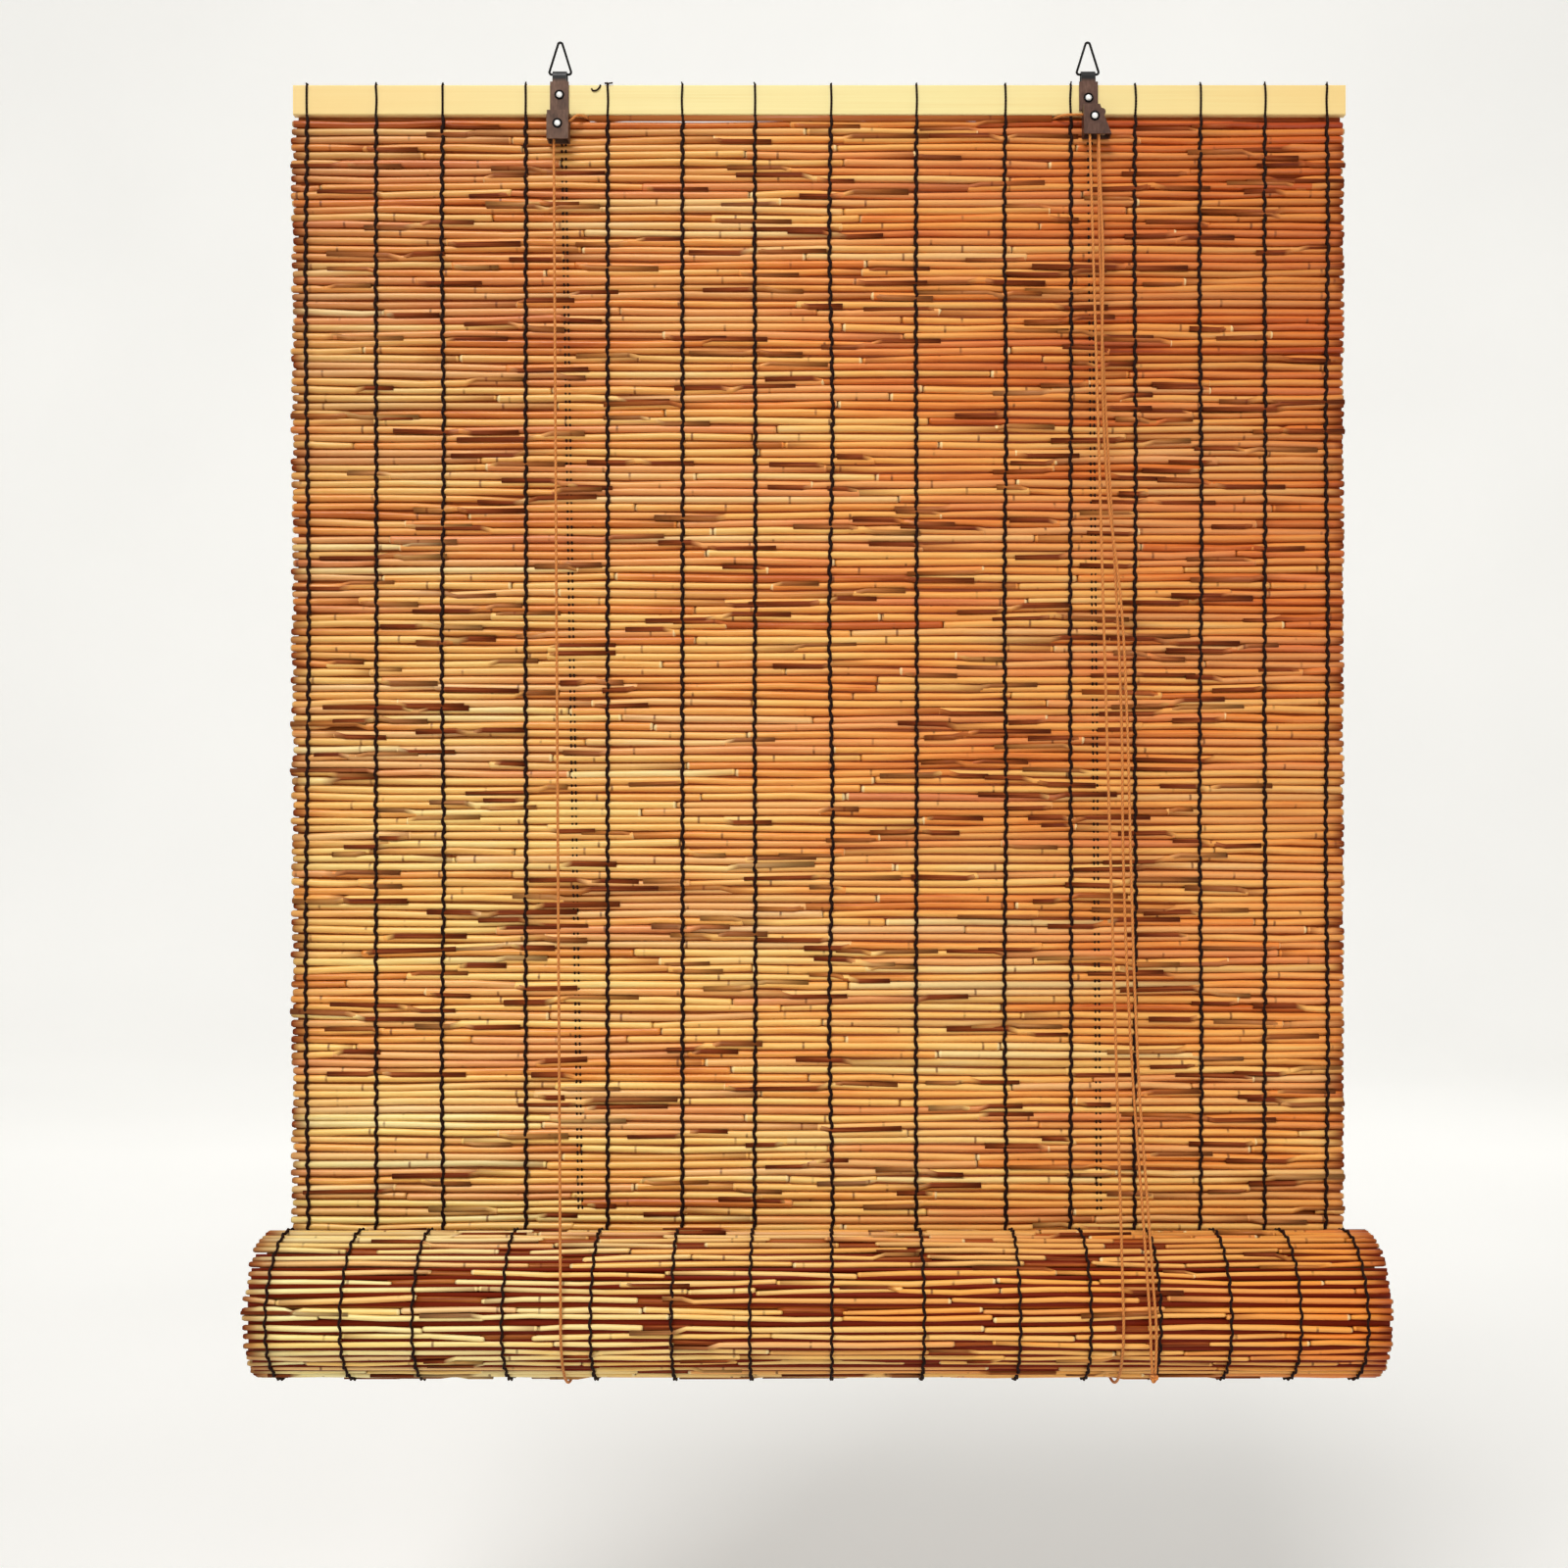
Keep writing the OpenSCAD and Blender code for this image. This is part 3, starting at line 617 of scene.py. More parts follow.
def hanging_mat():
    rnd = random.Random(11)
    upper, lower = (ReedBed(rnd, thick=MAT_THICK * REED_R, slope=1.0 * MM, bright=0.52,
                            lengths=(0.06, 0.4, 0.15), sheathed=0.72) for _ in range(2))
    for index in range(ROWS):
        bed = upper if index < STAYING_ROWS else lower
        row = (rnd.uniform(-0.3, 0.3) * MM, FIRST_ROW_Z - index * REED_PITCH, -1, 0)
        bed.fill_row(row, index, BLIND_W)
    print("hanging mat:", upper.count + lower.count, "reeds")
    for index in range(ROWS - 1):
        bed = upper if index < STAYING_ROWS else lower
        z = FIRST_ROW_Z - (index + 0.5) * REED_PITCH
        left, right = (side * (BLIND_W / 2 - rnd.uniform(1, 4) * MM) for side in (-1, 1))
        bed.valley_reed((VALLEY_Y, z, -1, 0), left, right, VALLEY_R, VALLEY_GLOOM)
    # Valley reeds also lie in the slit under the header slat, their fronts painted dark as shade.
    for start, end, side in SLIT_REEDS:
        z = 0.5 * (HEADER_BOTTOM + FIRST_ROW_Z + REED_R) - (SLIT_DROP if side < 0 else 0)
        upper.valley_reed((side * SLIT_SHIFT, z, -1, 0), start, end, SLIT_REED_R, SLIT_GLOOM)
    hang_in_two("mat_reeds", upper.bm, lower.bm, REED_FINISH, ["hanging_mat"])


hanging_mat()

# %% [markdown]
# ## Roll
# The rest of the mat is wound round a rod. A turn keeps its radius and then steps inwards by one
# pitch behind its top, where the next layer comes to lie on it. Only the outermost turn shows
# along its length, so the inner turns have one reed across the whole width in each row.

# %% Roll
def turn_radius(angle):
    share = (angle % 360 - 360 + TURN_STEP) / TURN_STEP
    eased = 0 if share <= 0 else share * share * (3 - 2 * share)
    return ROLL_R - TURN_PITCH * (angle // 360 + eased)


def roll_row(angle, sunk=0.0):
    """Where a row of the roll is, and which way is outwards, at an angle from the roll's back."""
    turned = math.radians(angle)
    outward_y, outward_z = math.cos(turned), -math.sin(turned)
    radius = turn_radius(angle) - sunk
    return (ROLL_Y + radius * outward_y, ROLL_Z + radius * outward_z, outward_y, outward_z)


ROLL_THICK = 0.68
ROLL_SPACING = 1.06
ROLL_WIDTH = BLIND_W + 10 * MM
OUTER_TURN_END = 345
GAP_SUNK = 2.6 * MM
GAP_R = 3.3 * MM


def mat_roll():
    bed = ReedBed(random.Random(23), thick=ROLL_THICK * REED_R, slope=2.6 * MM, bright=0.9,
                  lengths=(0.05, 0.26, 0.1), sheathed=0.34, breaks=0.42)
    angle, number, gaps = 0.0, ROWS, []
    while angle < 360 * ROLL_TURNS:
        step = math.degrees(REED_PITCH / turn_radius(angle))
        if angle < OUTER_TURN_END:
            step *= ROLL_SPACING
            sunk = bed.random.uniform(0, 1) * MM
            nudge = bed.random.uniform(-0.15, 0.15) * step
            bed.fill_row(roll_row(angle + nudge, sunk), number, ROLL_WIDTH)
            gaps.append(roll_row(angle + 0.5 * step, GAP_SUNK))
        else:
            bed.dark_reed(roll_row(angle), BLIND_W, MAT_THICK * REED_R)
        angle += step
        number += 1
    print("roll:", bed.count, "reeds")
    # A valley reed lies behind each gap of the outer turn, its front painted dark as shade.
    for row in gaps:
        insets = [bed.random.uniform(0.5, 3) * MM for _ in range(2)]
        bed.valley_reed(row, insets[0] - ROLL_WIDTH / 2, ROLL_WIDTH / 2 - insets[1], GAP_R, 1.0)
    finish_piece("roll_reeds", bed.bm, REED_FINISH, ["mat_roll"], "roll")


mat_roll()

# %% [markdown]
# ## Tubes
# Cords and warps are tubes. A grid is wrapped round a path: one side of the grid runs along the
# path and the other goes round it, and the seam is merged. With lobes and a twist the same
# grid becomes a laid cord, and the depth between its strands is kept as an attribute.

# %% Tubes
def walk(points):
    """How far each point is from the first, along the line."""
    return np.concatenate([[0], np.cumsum(np.linalg.norm(np.diff(points, axis=0), axis=1))])


def evenly(points, spacing):
    """Points along the same line, smoothed as a spline and spaced evenly."""
    points = np.array(points, float)
    if len(points) > 2:
        points = spline(points)
    lengths = walk(points)
    count = max(2, int(lengths[-1] / spacing) + 1)
    wanted = np.linspace(0, lengths[-1], count)
    return np.stack([np.interp(wanted, lengths, points[:, axis]) for axis in range(3)], axis=1)


def between(first, second, start, end, t):
    return (end - t) / (end - start) * first + (t - start) / (end - start) * second


def spline(points, steps=12):
    """A smooth curve through all the points, with bends shared out by centripetal spacing."""
    padded = np.vstack([2 * points[0] - points[1], points, 2 * points[-1] - points[-2]])
    curve = []
    for p0, p1, p2, p3 in zip(padded, padded[1:], padded[2:], padded[3:]):
        t1 = np.linalg.norm(p1 - p0) ** 0.5
        t2 = t1 + np.linalg.norm(p2 - p1) ** 0.5
        t3 = t2 + np.linalg.norm(p3 - p2) ** 0.5
        for t in np.linspace(t1, t2, steps, endpoint=False):
            a1 = between(p0, p1, 0, t1, t)
            a2 = between(p1, p2, t1, t2, t)
            a3 = between(p2, p3, t2, t3, t)
            b1 = between(a1, a2, 0, t2, t)
            b2 = between(a2, a3, t1, t3, t)
            curve.append(between(b1, b2, t1, t2, t))
    return np.array(curve + [points[-1]])


def path_frames(path):
    """A steady pair of side vectors at each point, carried along the path without turning."""
    headings = np.gradient(path, axis=0)
    headings /= np.linalg.norm(headings, axis=1)[:, None]
    across = np.cross(headings[0], (0, 1, 0) if abs(headings[0][1]) < 0.9 else (1, 0, 0))
    sides = []
    for heading in headings:
        across = across - heading * np.dot(across, heading)
        across = across / np.linalg.norm(across)
        sides.append(across)
    sides = np.array(sides)
    return sides, np.cross(headings, sides)


def wrap_tube(bm, path, radii, sides=6, lobes=0, lay=0.0, groove=0.08):
    """Wraps a grid round a path. lobes strands are laid round each other, one turn in each lay."""
    path = np.array(path, float)
    rings = len(path)
    radii = np.broadcast_to(radii, rings)
    layer = bm.verts.layers.float.get("crease") or bm.verts.layers.float.new("crease")
    first, second = path_frames(path)
    walked = walk(path)
    grid = bmesh.ops.create_grid(bm, x_segments=sides, y_segments=rings - 1, size=1, calc_uvs=False)
    for vert in grid["verts"]:
        ring = round((vert.co.y + 1) / 2 * (rings - 1))
        around = round((vert.co.x + 1) / 2 * sides) % sides * 2 * math.pi / sides
        crease = 0.5 - 0.5 * math.cos(lobes * around) if lobes else 0.0
        turned = around + (2 * math.pi * walked[ring] / lay if lay else 0)
        radius = radii[ring] * (1 - groove * crease)
        offset = radius * (math.cos(turned) * first[ring] + math.sin(turned) * second[ring])
        vert.co = path[ring] + offset
        vert[layer] = crease
    bmesh.ops.remove_doubles(bm, verts=grid["verts"], dist=1e-7)


def close_tubes(bm):
    bmesh.ops.holes_fill(bm, edges=[edge for edge in bm.edges if edge.is_boundary], sides=0)


# %% [markdown]
# ## Cord and warp finishes
# The cords are laid from three strands of terracotta yarn, and the warps are dark twisted threads.
# The strands are geometry; the finish paints shade into the grooves between them and adds fibres.

# %% Cord and warp finishes
def yarn_finish(name, scale, stops, groove, bump, **inputs):
    yarn = Finish(name, **inputs)
    fibres = yarn.noise(scale)
    spun = yarn.ramp(fibres, stops)
    # The grooves between strands are darker: painted shade.
    yarn.shade(Base_Color=yarn.mix(yarn.attribute("crease"), spun, screen_colour(*groove)))
    yarn.bump(fibres, bump, 0.0003)
    return yarn.material


CORD_FINISH = yarn_finish(
    "terracotta_cord", (1500, 1500, 600), [(0.25, (208, 122, 46)), (0.75, (242, 165, 78))],
    groove=(188, 102, 34), bump=0.5, Roughness=0.75, Sheen_Weight=0.1)
WARP_FINISH = yarn_finish(
    "dark_warp", (1300, 1300, 900), [(0.3, (18, 6, 3)), (0.8, (48, 22, 13))],
    groove=(10, 4, 3), bump=0.6, Roughness=0.85, Specular_IOR_Level=0.15)
print("finishes:", CORD_FINISH.name, WARP_FINISH.name)

# %% [markdown]
# ## Warps
# Each warp is a pair of dark threads that cross between the reeds. Seen from the front it is a
# beaded line: it rises over each reed, sinks into each valley and is thicker there, where its two
# threads cross. On the roll the same line follows the turn's radius.

# %% Warps
WARP_R = 1.2 * MM
BEAD_R = 1.75 * MM
CREST = 0.85 * MM
VALLEY = -0.9 * MM
STEPS_A_ROW = 4
TWIST = 0.75 * MM
ROLL_WARP_SHARE = 0.76
GLIMPSE_RUNS = [(-0.219, -0.2045), (0.2315, 0.2395)]
GLIMPSE_ROWS = ROWS - 9
GLIMPSE_R = 0.8 * MM
GLIMPSE_APART = 3.4 * MM
GLIMPSE_Y = 1.0 * MM
GLIMPSE_RISE = 1.2 * MM
ROLL_WARP_ANGLES = (5, 296)


def warp_wave(phase):
    """Height above the reeds and thickness at a place that counts rows from a reed's crown."""
    crown = 0.5 + 0.5 * math.cos(2 * math.pi * phase)
    return REED_R + VALLEY + (CREST - VALLEY) * crown, BEAD_R + (WARP_R - BEAD_R) * crown


def in_two(path, *more):
    """Cuts a list of places, and lists that go with it, where the mat begins to be wound up."""
    cut = next(index for index, place in enumerate(path) if place[2] < STAYING_Z)
    return [[part[:cut + 1] for part in (path, *more)], [part[cut:] for part in (path, *more)]]


def hang_threads(name, upper, lower, replaced=()):
    close_tubes(upper)
    close_tubes(lower)
    hang_in_two(name, upper, lower, WARP_FINISH, replaced)


def mat_warps(name, face, node, seed):
    rnd = random.Random(seed)
    end_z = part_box(node)[0][2]
    upper, lower = bmesh.new(), bmesh.new()
    for x in WARP_X:
        drift, slow = rnd.uniform(-1.4, 1.4) * MM, rnd.uniform(0.01, 0.025)
        steps = int((FIRST_ROW_Z - end_z) / REED_PITCH * STEPS_A_ROW)
        path, radii = [(x, face * (REED_R + CREST), HEADER_BOTTOM)], [WARP_R]
        for step in range(-1, steps):
            phase = step / STEPS_A_ROW
            height, radius = warp_wave(phase)
            sway = drift * math.sin(phase * slow * 2 * math.pi) + TWIST * math.cos(math.pi * phase)
            sway += rnd.uniform(-0.25, 0.25) * MM
            path.append((x + sway, face * height, FIRST_ROW_Z - phase * REED_PITCH))
            radii.append(radius * rnd.uniform(0.88, 1.12))
        for bm, (places, sizes) in zip((upper, lower), in_two(path, radii)):
            wrap_tube(bm, places, sizes)
    hang_threads(name, upper, lower, [node])


def roll_warps():
    rnd = random.Random(37)
    bm = bmesh.new()
    for x in WARP_X:
        path, radii = [], []
        angle = ROLL_WARP_ANGLES[0]
        while angle < ROLL_WARP_ANGLES[1]:
            phase = math.radians(angle) * ROLL_R / REED_PITCH
            height, radius = warp_wave(phase)
            y, z, outward_y, outward_z = roll_row(angle)
            sway = TWIST * math.cos(math.pi * phase) + rnd.uniform(-0.15, 0.15) * MM
            height -= (1 - ROLL_THICK) * REED_R
            path.append((x + sway, y + outward_y * height, z + outward_z * height))
            radii.append(ROLL_WARP_SHARE * radius * rnd.uniform(0.9, 1.1))
            angle += math.degrees(REED_PITCH / ROLL_R) / STEPS_A_ROW
        wrap_tube(bm, path, radii)
    close_tubes(bm)
    finish_piece("roll_warp_threads", bm, WARP_FINISH, ["roll_warps"], "roll")


def glimpsed_cords():
    """The back strands of the lift cords, where they show as dark dashes in the gaps of the mat.
    They take the dark warp finish as painted shade.
    """
    upper, lower = bmesh.new(), bmesh.new()
    steps = GLIMPSE_ROWS * STEPS_A_ROW
    for top_x, low_x in GLIMPSE_RUNS:
        path = []
        for step in range(2, steps):
            phase = step / STEPS_A_ROW
            x = top_x + (low_x - top_x) * step / steps
            y = GLIMPSE_RISE * math.cos(2 * math.pi * phase) - GLIMPSE_Y
            path.append((x, y, FIRST_ROW_Z - phase * REED_PITCH))
        for bm, (places,) in zip((upper, lower), in_two(path)):
            for side in (-0.5, 0.5):
                wrap_tube(bm, [(x + side * GLIMPSE_APART, y, z) for x, y, z in places], GLIMPSE_R)
    # The terracotta strands get the dark warp finish: painted shade.
    hang_threads("cord_glimpses", upper, lower)


glimpsed_cords()
mat_warps("front_warp_threads", -1, "front_warps", 31)
mat_warps("back_warp_threads", 1, "back_warps", 33)
roll_warps()

# %% [markdown]
# ## Header stitches
# Each warp is taken over the header slat in one tight loop. A short end of thread stands up from
# the loops, and two loose ends lie beside the left clip.

# %% Header stitches
STITCH_R = 1.0 * MM
STITCH_LIFT = 0.55 * MM
STITCH_END_Z = HEADER_BOTTOM - 1 * MM
LOOSE_Y = HEADER_FRONT - 0.6 * MM
LOOSE_ENDS = [[(-183.5, 0.9), (-181, 0.6), (-176.5, 1.2)],
              [(-187, -0.4), (-188, -3), (-190.5, -5.2), (-193.5, -5.4), (-194.5, -3.6)]]


def header_stitches():
    rnd = random.Random(41)
    bm = bmesh.new()
    front, back = HEADER_FRONT - STITCH_LIFT, HEADER_BACK + STITCH_LIFT
    top = HEADER_HIGH[2] + STITCH_LIFT
    for x in WARP_X:
        lean = rnd.uniform(-0.7, 0.7) * MM
        loop = [(x, front, STITCH_END_Z), (x + lean, front, 0.5 * HEADER_BOTTOM),
                (x, front, -1 * MM), (x, front + 1 * MM, top), (x, 0, top),
                (x, back - 1 * MM, top), (x, back, -1 * MM),
                (x - lean, back, 0.5 * HEADER_BOTTOM), (x, back, STITCH_END_Z)]
        wrap_tube(bm, evenly(loop, 1.2 * MM), STITCH_R, sides=6, lobes=2, lay=5 * MM)
        reach = rnd.uniform(0.5, 2) * MM
        stub = [(x, front + 0.6 * MM, top - 0.5 * MM),
                (x + rnd.uniform(-1, 1) * MM, front, top + reach)]
        wrap_tube(bm, evenly(stub, 0.6 * MM), 0.7 * STITCH_R, sides=5)
    for loose in LOOSE_ENDS:
        points = [(x * MM, LOOSE_Y, z * MM) for x, z in loose]
        wrap_tube(bm, evenly(points, 0.6 * MM), 0.75 * STITCH_R, sides=5)
    close_tubes(bm)
    finish_piece("header_threads", bm, WARP_FINISH, ["header_stitches"])


header_stitches()

# %% [markdown]
# ## Cords
# Two lift cords run from their pulleys down the front of the mat, under the roll and up the back
# to a knot at the clip. The left one also runs behind the header slat to the lock. Both leave the
# lock as pull cords, which hang in front of the roll and end in one knot. Only the pull cords are
# free; the others are held all the way. The routes are the solids' own.

# %% Cord routes
LEFT_CLIP_X = -0.222
RIGHT_CLIP_X = 0.23
LEFT_SLING_X = -0.204
RIGHT_SLING_X = 0.24
PULLEY_R = 4 * MM
GROOVE_Y = -10.85 * MM
LIFT_GROOVE_Y = -13.05 * MM
CROSS_GROOVE_Y = -8.65 * MM
LEFT_AXLE_Z = -37.9 * MM
LOCK_AXLE_X, LOCK_AXLE_Z = 0.2335, -31.6 * MM
SLING_GAP = 0.35 * MM
SLING_R = ROLL_R + REED_R + SLING_GAP + CORD_D / 2
SLING_STEPS, KNOT_STEPS = 40, 48
KNOT_Y = 8.3 * MM
LEFT_KNOT_Z, RIGHT_KNOT_Z = -0.018, -0.017
BACK_KNOT, PULL_KNOT = 5.8 * MM, 8 * MM
CROSS_WRAP = 90
CROSS_ROUTE = [
    (-222, -10.85, -33.9), (-215, -10.85, -33.9), (-212, -10.85, -33.4), (-209.5, -10.6, -31.4),
    (-207, -9.6, -29), (-204.5, -7.6, -27.8), (-201.5, -4.8, -27.7), (-198, -1, -27.7),
    (-194, 3.2, -27.7), (-189, 6.4, -27.5), (-182, 7.8, -27), (-170, 8, -26), (-100, 8, -25),
    (0, 8, -25), (100, 8, -25), (170, 8, -26), (188, 7.6, -27), (194, 5.6, -27.6),
    (198, 2.4, -27.7), (202, -1.8, -27.7), (206, -5.6, -27.7), (211, -8, -27.6),
    (217, -8.65, -27.6), (225, -8.65, -27.6)]
PULL_ROUTE_A = [
    (237.5, -8.65, -31.6), (237.5, -9.5, -50), (237.5, -11.7, -80), (238, -16.3, -150),
    (240, -23.8, -250), (244, -32.6, -350), (248, -42.4, -450), (250, -53.4, -550),
    (249, -65.5, -650), (250, -78.8, -750), (253, -93.2, -850), (257, -105.5, -930),
    (260, -117, -1000), (261, -120.6, -1025), (261.5, -120.8, -1045), (262.5, -120.8, -1063)]
PULL_ROUTE_B = [
    (237.5, -13.05, -31.6), (237.5, -13.9, -50), (238, -16, -80), (240, -20, -150),
    (238, -27.4, -250), (241, -36.2, -350), (251, -46, -450), (254, -57, -550),
    (254.5, -69, -650), (255, -82.4, -750), (257, -96.8, -850), (261, -108, -930),
    (264.4, -117, -1000), (265.6, -120.6, -1025), (265.6, -120.8, -1045), (264.9, -120.8, -1063)]
PULL_KNOT_AT = Vector((263.7, -120.8, -1066.5)) * MM
CORD_STEP = 1.3 * MM
CORD_LAY = 10 * MM


def in_metres(route):
    return [tuple(value * MM for value in point) for point in route]


def touch_angle(y, z):
    """Angle on a sling, from the roll's back, where a straight cord from a pulley meets it."""
    from_axis = Vector((y - ROLL_Y, z - ROLL_Z))
    return math.atan2(from_axis.y, from_axis.x) + math.acos(SLING_R / from_axis.length)


def on_sling(x, angle):
    return (x, ROLL_Y + SLING_R * math.cos(angle), ROLL_Z + SLING_R * math.sin(angle))


def arc(centre, radius, start, end, steps=24):
    """An arc seen from the front, round an axis that runs from front to back."""
    x, y, z = centre
    angles = [math.radians(start + (end - start) * step / steps) for step in range(steps + 1)]
    return [(x + radius * math.cos(a), y, z + radius * math.sin(a)) for a in angles]


# %% [markdown]
# ## Held cords
# A lift cord is several pieces, because its lengths move in different ways: the front and back
# strands shorten while the roll goes up, and the slings ride with it.

# %% Held cords
def lay_cord(bm, points):
    path = evenly(points, CORD_STEP)
    wrap_tube(bm, path, CORD_D / 2, sides=12, lobes=3, lay=CORD_LAY)
    return path


def cord_piece(name, routes, node, body="header", knots=()):
    bm = bmesh.new()
    for route in routes:
        lay_cord(bm, route)
    for centre, size in knots:
        tie_knot(bm, centre, size)
    close_tubes(bm)
    return finish_piece(name, bm, CORD_FINISH, [node], body)


def tie_knot(bm, centre, size):
    """An overhand knot: a trefoil of cord pulled tight."""
    angles = [2 * math.pi * step / KNOT_STEPS for step in range(KNOT_STEPS + 1)]
    reach = (size - CORD_D) / 2 / 3
    loop = [Vector((math.sin(a) + 2 * math.sin(2 * a), -math.sin(3 * a),
                    math.cos(a) - 2 * math.cos(2 * a))) for a in angles]
    path = [tuple(Vector(centre) + reach * point) for point in loop]
    wrap_tube(bm, path, CORD_D / 2, sides=9, lobes=3, lay=CORD_LAY)


left_top = (LEFT_CLIP_X - PULLEY_R, GROOVE_Y, LEFT_AXLE_Z)
right_top = (LOCK_AXLE_X - PULLEY_R, LIFT_GROOVE_Y, LOCK_AXLE_Z)
for side, top, sling_x, clip_x, knot_z in (
        ("left", left_top, LEFT_SLING_X, LEFT_CLIP_X, LEFT_KNOT_Z),
        ("right", right_top, RIGHT_SLING_X, RIGHT_CLIP_X, RIGHT_KNOT_Z)):
    touch = touch_angle(*top[1:])
    foot = on_sling(sling_x, touch)
    strand = cord_piece(f"{side}_front_cord", [[top, foot]], f"{side}_front_strand")
    shorten_with_lift(strand)
    sling = [on_sling(sling_x, touch + (2 * math.pi - touch) * step / SLING_STEPS)
             for step in range(SLING_STEPS + 1)]
    cord_piece(f"{side}_sling_cord", [sling], f"{side}_sling", "cord_slings")
    knot = (clip_x, KNOT_Y, knot_z)
    through = (clip_x, HEADER_BACK + 0.2 * MM, knot_z)
    back = cord_piece(f"{side}_back_cord", [[knot, on_sling(sling_x, 0)], [knot, through]],
                      f"{side}_back_strand", knots=[(knot, BACK_KNOT)])
    shorten_with_lift(back)

left_centre = (LEFT_CLIP_X, GROOVE_Y, LEFT_AXLE_Z)
lift_centre = (LOCK_AXLE_X, LIFT_GROOVE_Y, LOCK_AXLE_Z)
cross_centre = (LOCK_AXLE_X, CROSS_GROOVE_Y, LOCK_AXLE_Z)
lift_wrap = arc(lift_centre, PULLEY_R, 180, 0)
cross_wrap = arc(cross_centre, PULLEY_R, CROSS_WRAP, 0)
cord_piece("left_pulley_cord", [arc(left_centre, PULLEY_R, 180, 90)], "left_loop")
cord_piece("lock_pulley_cords", [lift_wrap, cross_wrap], "lock_loops")
cord_piece("cross_cord_run", [in_metres(CROSS_ROUTE) + cross_wrap[:1]], "cross_cord")

# %% [markdown]
# ## Pull cords
# The two free cords hang from the lock, and one knot joins their ends.

# %% Pull cords
knot_mesh = bmesh.new()
tie_knot(knot_mesh, PULL_KNOT_AT, PULL_KNOT)
pull_knot = finish_piece("pull_cord_knot", knot_mesh, CORD_FINISH, ["pull_knot"])
for letter, route in (("a", PULL_ROUTE_A), ("b", PULL_ROUTE_B)):
    points = in_metres(route)
    strand_mesh = bmesh.new()
    walked = lay_cord(strand_mesh, points)
    close_tubes(strand_mesh)
    strand = finish_piece(f"pull_cord_{letter}", strand_mesh, CORD_FINISH,
                          [f"pull_strand_{letter}"])

# %% [markdown]
# ## Wood
# The header slat is planed softwood under a thin clear varnish: pale yellow, with a straight grain
# along its length, and browner towards its ends. The solids of the slat and of the rod already have
# their rounded edges, so they only need a finish.

# %% Wood
def pale_wood():
    wood = Finish("planed_softwood", Coat_Weight=0.15, Coat_Roughness=0.3)
    grain = wood.noise((4, 260, 420), detail=4, roughness=0.6)
    clouds = wood.noise((7, 20, 30), detail=2)
    tone = wood.math("ADD", wood.spread(grain, 0.1, 0.9), wood.spread(clouds, -0.25, 0.25))
    planed = wood.ramp(tone, [(0.1, (230, 200, 128)), (0.45, (238, 219, 150)),
                              (0.9, (244, 231, 166))])
    from_middle = wood.math("ABSOLUTE", wood.axes()["X"])
    aged = wood.math("ADD", wood.band(from_middle, 0.1, 0.45, 0.7), wood.spread(clouds, -0.3, 0.3))
    wood.shade(Base_Color=wood.mix(aged, planed, screen_colour(238, 198, 124)),
               Roughness=wood.spread(grain, 0.38, 0.55))
    wood.bump(grain, 0.15, 0.0003)
    return wood


def dress(finish, *names):
    for name in names:
        nodes[name].data.materials.clear()
        nodes[name].data.materials.append(finish.material)
    print(finish.material.name, "on", ", ".join(names))


dress(pale_wood(), "header_slat")
dress(mottled("turned_rod", (6, 300, 300), (150, 96, 48), (196, 140, 82), detail=3, bump=0.2,
              depth=0.0004, Roughness=0.5), "bottom_rod")

# %% [markdown]
# ## Metal
# The clips and housings are folded sheet with a thin bronze-brown lacquer that is unevenly dark.
# The rings are black wire, and the rivets are bright.

# %% Metal finishes
def lacquered_sheet(name, dark, middle, light):
    sheet = Finish(name, Metallic=0.2, Coat_Weight=0.08, Coat_Roughness=0.3, Specular_IOR_Level=0.3)
    clouds = sheet.noise((90, 90, 70), detail=4, roughness=0.6)
    scuffs = sheet.noise((700, 700, 160), detail=2)
    tone = sheet.math("ADD", sheet.spread(clouds, 0.1, 0.9), sheet.spread(scuffs, -0.2, 0.2))
    lacquer = sheet.ramp(tone, [(0.2, dark), (0.5, middle), (0.85, light)])
    eye = sheet.band(sheet.axes()["Z"], 2 * MM, 5 * MM)
    sheet.shade(Base_Color=sheet.mix(eye, lacquer, screen_colour(16, 15, 15)),
                Roughness=sheet.spread(scuffs, 0.32, 0.55))
    sheet.bump(scuffs, 0.15, 0.0002)
    return sheet


def bright_rivet():
    rivet = Finish("bright_rivet", Metallic=0.3)
    haze = rivet.noise((500, 500, 500))
    rivet.shade(Base_Color=rivet.ramp(haze, [(0.3, (244, 242, 236)), (0.7, (254, 253, 250))]),
                Roughness=rivet.spread(haze, 0.2, 0.4))
    return rivet


dress(lacquered_sheet("bronze_sheet", (50, 32, 23), (92, 65, 50), (124, 96, 79)),
      "left_clip", "left_housing")
dress(lacquered_sheet("dark_bronze_sheet", (36, 20, 14), (84, 56, 44), (114, 84, 70)),
      "right_clip", "lock_housing")
dress(mottled("black_wire", (600, 600, 600), (5, 5, 5), (18, 17, 16), detail=3, bump=0.2,
              Roughness=0.5, Specular_IOR_Level=0.15), "left_ring", "right_ring")
dress(bright_rivet(), "left_rivet", "right_rivet", "left_axle", "lock_axle")
dress(mottled("moulded_pulley", (300, 300, 300), (150, 130, 100), (190, 170, 136), bump=0.1,
              Roughness=0.45), "left_pulley", "lock_pulley", "lock_roller")

# %% [markdown]
# ## Rivet rims
# Each rivet head sits in a small dark dent of the sheet, seen as a thin black ring round it.

# %% Each rivet head sits in a small dent of the sheet, shown as a thin black ring round it: a painted
# shadow.
RIM_R = 3.4 * MM
RIM_WIRE_R = 0.85 * MM


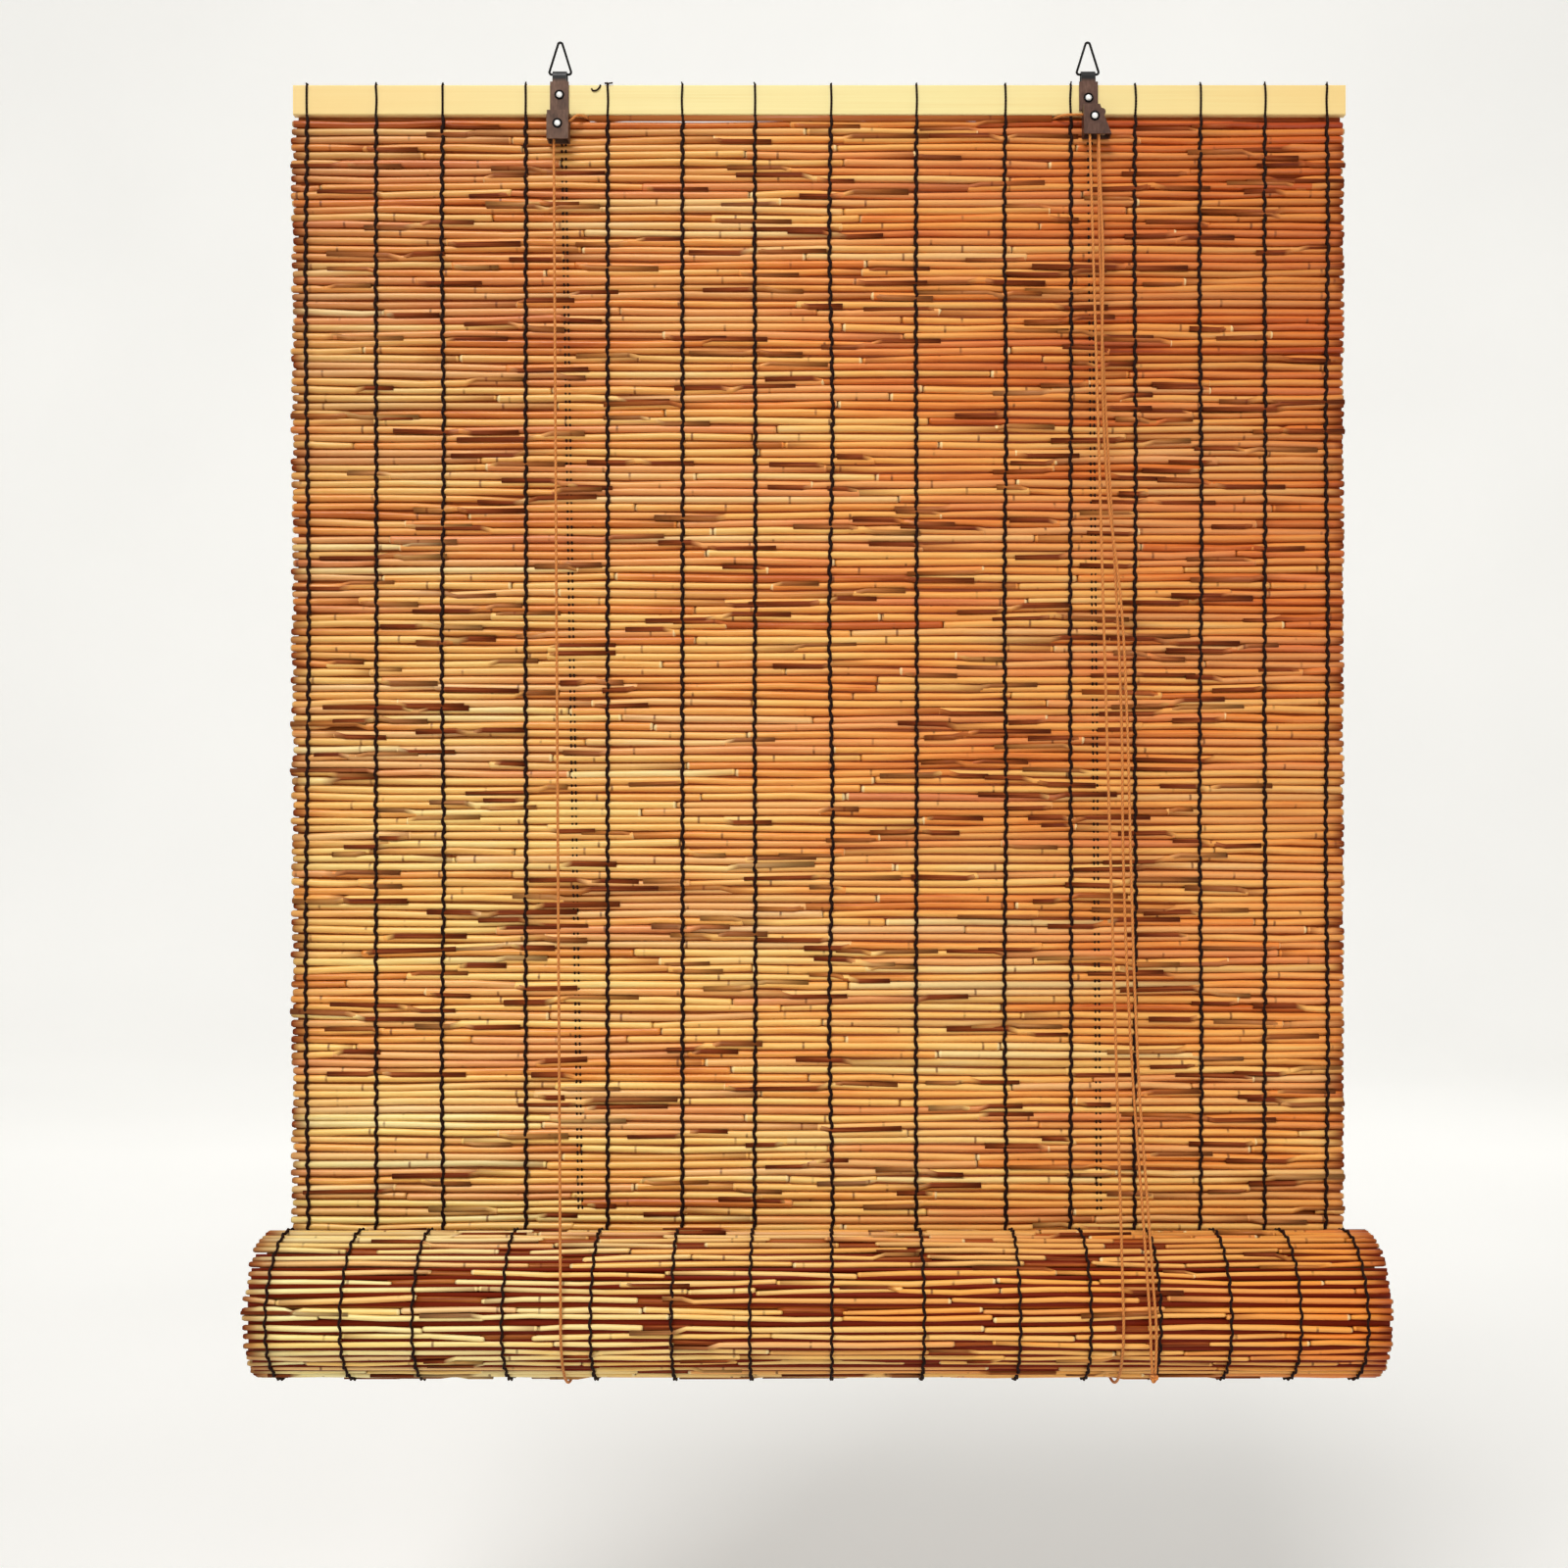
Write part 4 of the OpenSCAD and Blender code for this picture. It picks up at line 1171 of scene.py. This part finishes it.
def rivet_rims():
    bm = bmesh.new()
    for name, front in (("left_rivet", "left_clip"), ("right_rivet", "right_clip"),
                        ("left_axle", "left_housing"), ("lock_axle", "lock_housing")):
        low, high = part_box(name)
        x, z = 0.5 * (low[0] + high[0]), 0.5 * (low[2] + high[2])
        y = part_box(front)[0][1]
        wrap_tube(bm, arc((x, y, z), RIM_R, 0, 360, 32), RIM_WIRE_R, sides=6)
    close_tubes(bm)
    # The rims are near black, a painted shadow round each rivet head.
    rim_shadow = mottled("dark_rim", (400, 400, 400), (8, 6, 5), (22, 16, 14),
                    Roughness=0.8, Specular_IOR_Level=0.1)
    finish_piece("rivet_rims", bm, rim_shadow.material)


rivet_rims()

# %% [markdown]
# ## Stage
# A pale floor runs up into a pale backdrop well behind the blind. The backdrop and the far floor on
# all sides look pale because they glow, for the camera and for reflections only. So they send no
# light onto the blind, and the floor near it still takes the shadow.

# %% Stage
FLOOR_Z = -1.55
STAGE_HALF = 9.0
WALL_Y = 6.0
WALL_TOP = 6.0
COVE = 1.6
BACKDROP_GLOW = 0.5
GLOW_BEHIND = (-2, 3)
GLOW_FAR = (3, 5.5)


def stage_paper():
    paper = mottled("pale_paper", (0.8, 0.8, 0.8), (232, 231, 228), (240, 239, 236),
                    Roughness=0.9)
    distance = paper.add("VectorMath", {"Vector": paper.place()}, operation="LENGTH")["Value"]
    glow = paper.math("MAXIMUM", paper.band(paper.axes()["Y"], *GLOW_BEHIND, BACKDROP_GLOW),
                      paper.band(distance, *GLOW_FAR, BACKDROP_GLOW))
    paper.shade(Emission_Color=screen_colour(244, 243, 239),
                Emission_Strength=paper.math("MULTIPLY", paper.seen_directly(), glow))
    return paper.material


def studio_stage():
    bm = bmesh.new()
    corners = [bm.verts.new((x, -STAGE_HALF, FLOOR_Z)) for x in (-STAGE_HALF, STAGE_HALF)]
    edges = [bm.edges.new(corners)]
    for step in ((0, STAGE_HALF + WALL_Y, 0), (0, 0, WALL_TOP - FLOOR_Z)):
        grown = bmesh.ops.extrude_edge_only(bm, edges=edges)["geom"]
        verts = [part for part in grown if isinstance(part, bmesh.types.BMVert)]
        bmesh.ops.translate(bm, verts=verts, vec=step)
        edges = [part for part in grown
                 if isinstance(part, bmesh.types.BMEdge) and set(part.verts) == set(verts)]
    fold = [edge for edge in bm.edges if len(edge.link_faces) == 2]
    bmesh.ops.bevel(bm, geom=fold, offset=COVE, affect="EDGES", segments=16, profile=0.5,
                    material=-1)
    make_object("studio_stage", bm, stage_paper())


studio_stage()

# %% [markdown]
# ## Light
# One large soft lamp in front and above gives the reeds their bright upper sides, a weak one fills
# in from the right, and one from behind lights the back. The world fills the shadows. The camera
# sees it brighter than it lights, so that the sky above the backdrop is as pale as the backdrop.

# %% Light
LAMPS = [
    ("key_lamp", (-1.2, -3.6, 4.1), (0, 0, -0.6), 2.2, 262),
    ("fill_lamp", (1.6, -2.6, -0.4), (0, 0, -0.8), 1.8, 14),
    ("back_lamp", (1.2, 3.4, 2.4), (0, 0, -0.6), 2.0, 22)]
WORLD_LEVEL = 0.3
SKY_LEVEL = 0.86

for name, place, aim, size, power in LAMPS:
    lamp = bpy.data.lights.new(name, "AREA")
    lamp.shape = "SQUARE"
    lamp.size = size
    lamp.energy = power
    holder = add_object(name, lamp)
    holder.location = place
    holder.rotation_euler = (Vector(aim) - Vector(place)).to_track_quat("-Z", "Y").to_euler()

world = bpy.data.worlds.new("studio_world")
world.use_nodes = True
sky = Nodes(world.node_tree)
sky.put(sky.tree.nodes["Background"], {
    "Color": screen_colour(250, 249, 245),
    "Strength": sky.spread(sky.seen_directly(), WORLD_LEVEL, SKY_LEVEL)})
bpy.context.scene.world = world
bpy.context.scene.view_settings.view_transform = "Standard"
print("lamps:", ", ".join(lamp[0] for lamp in LAMPS))
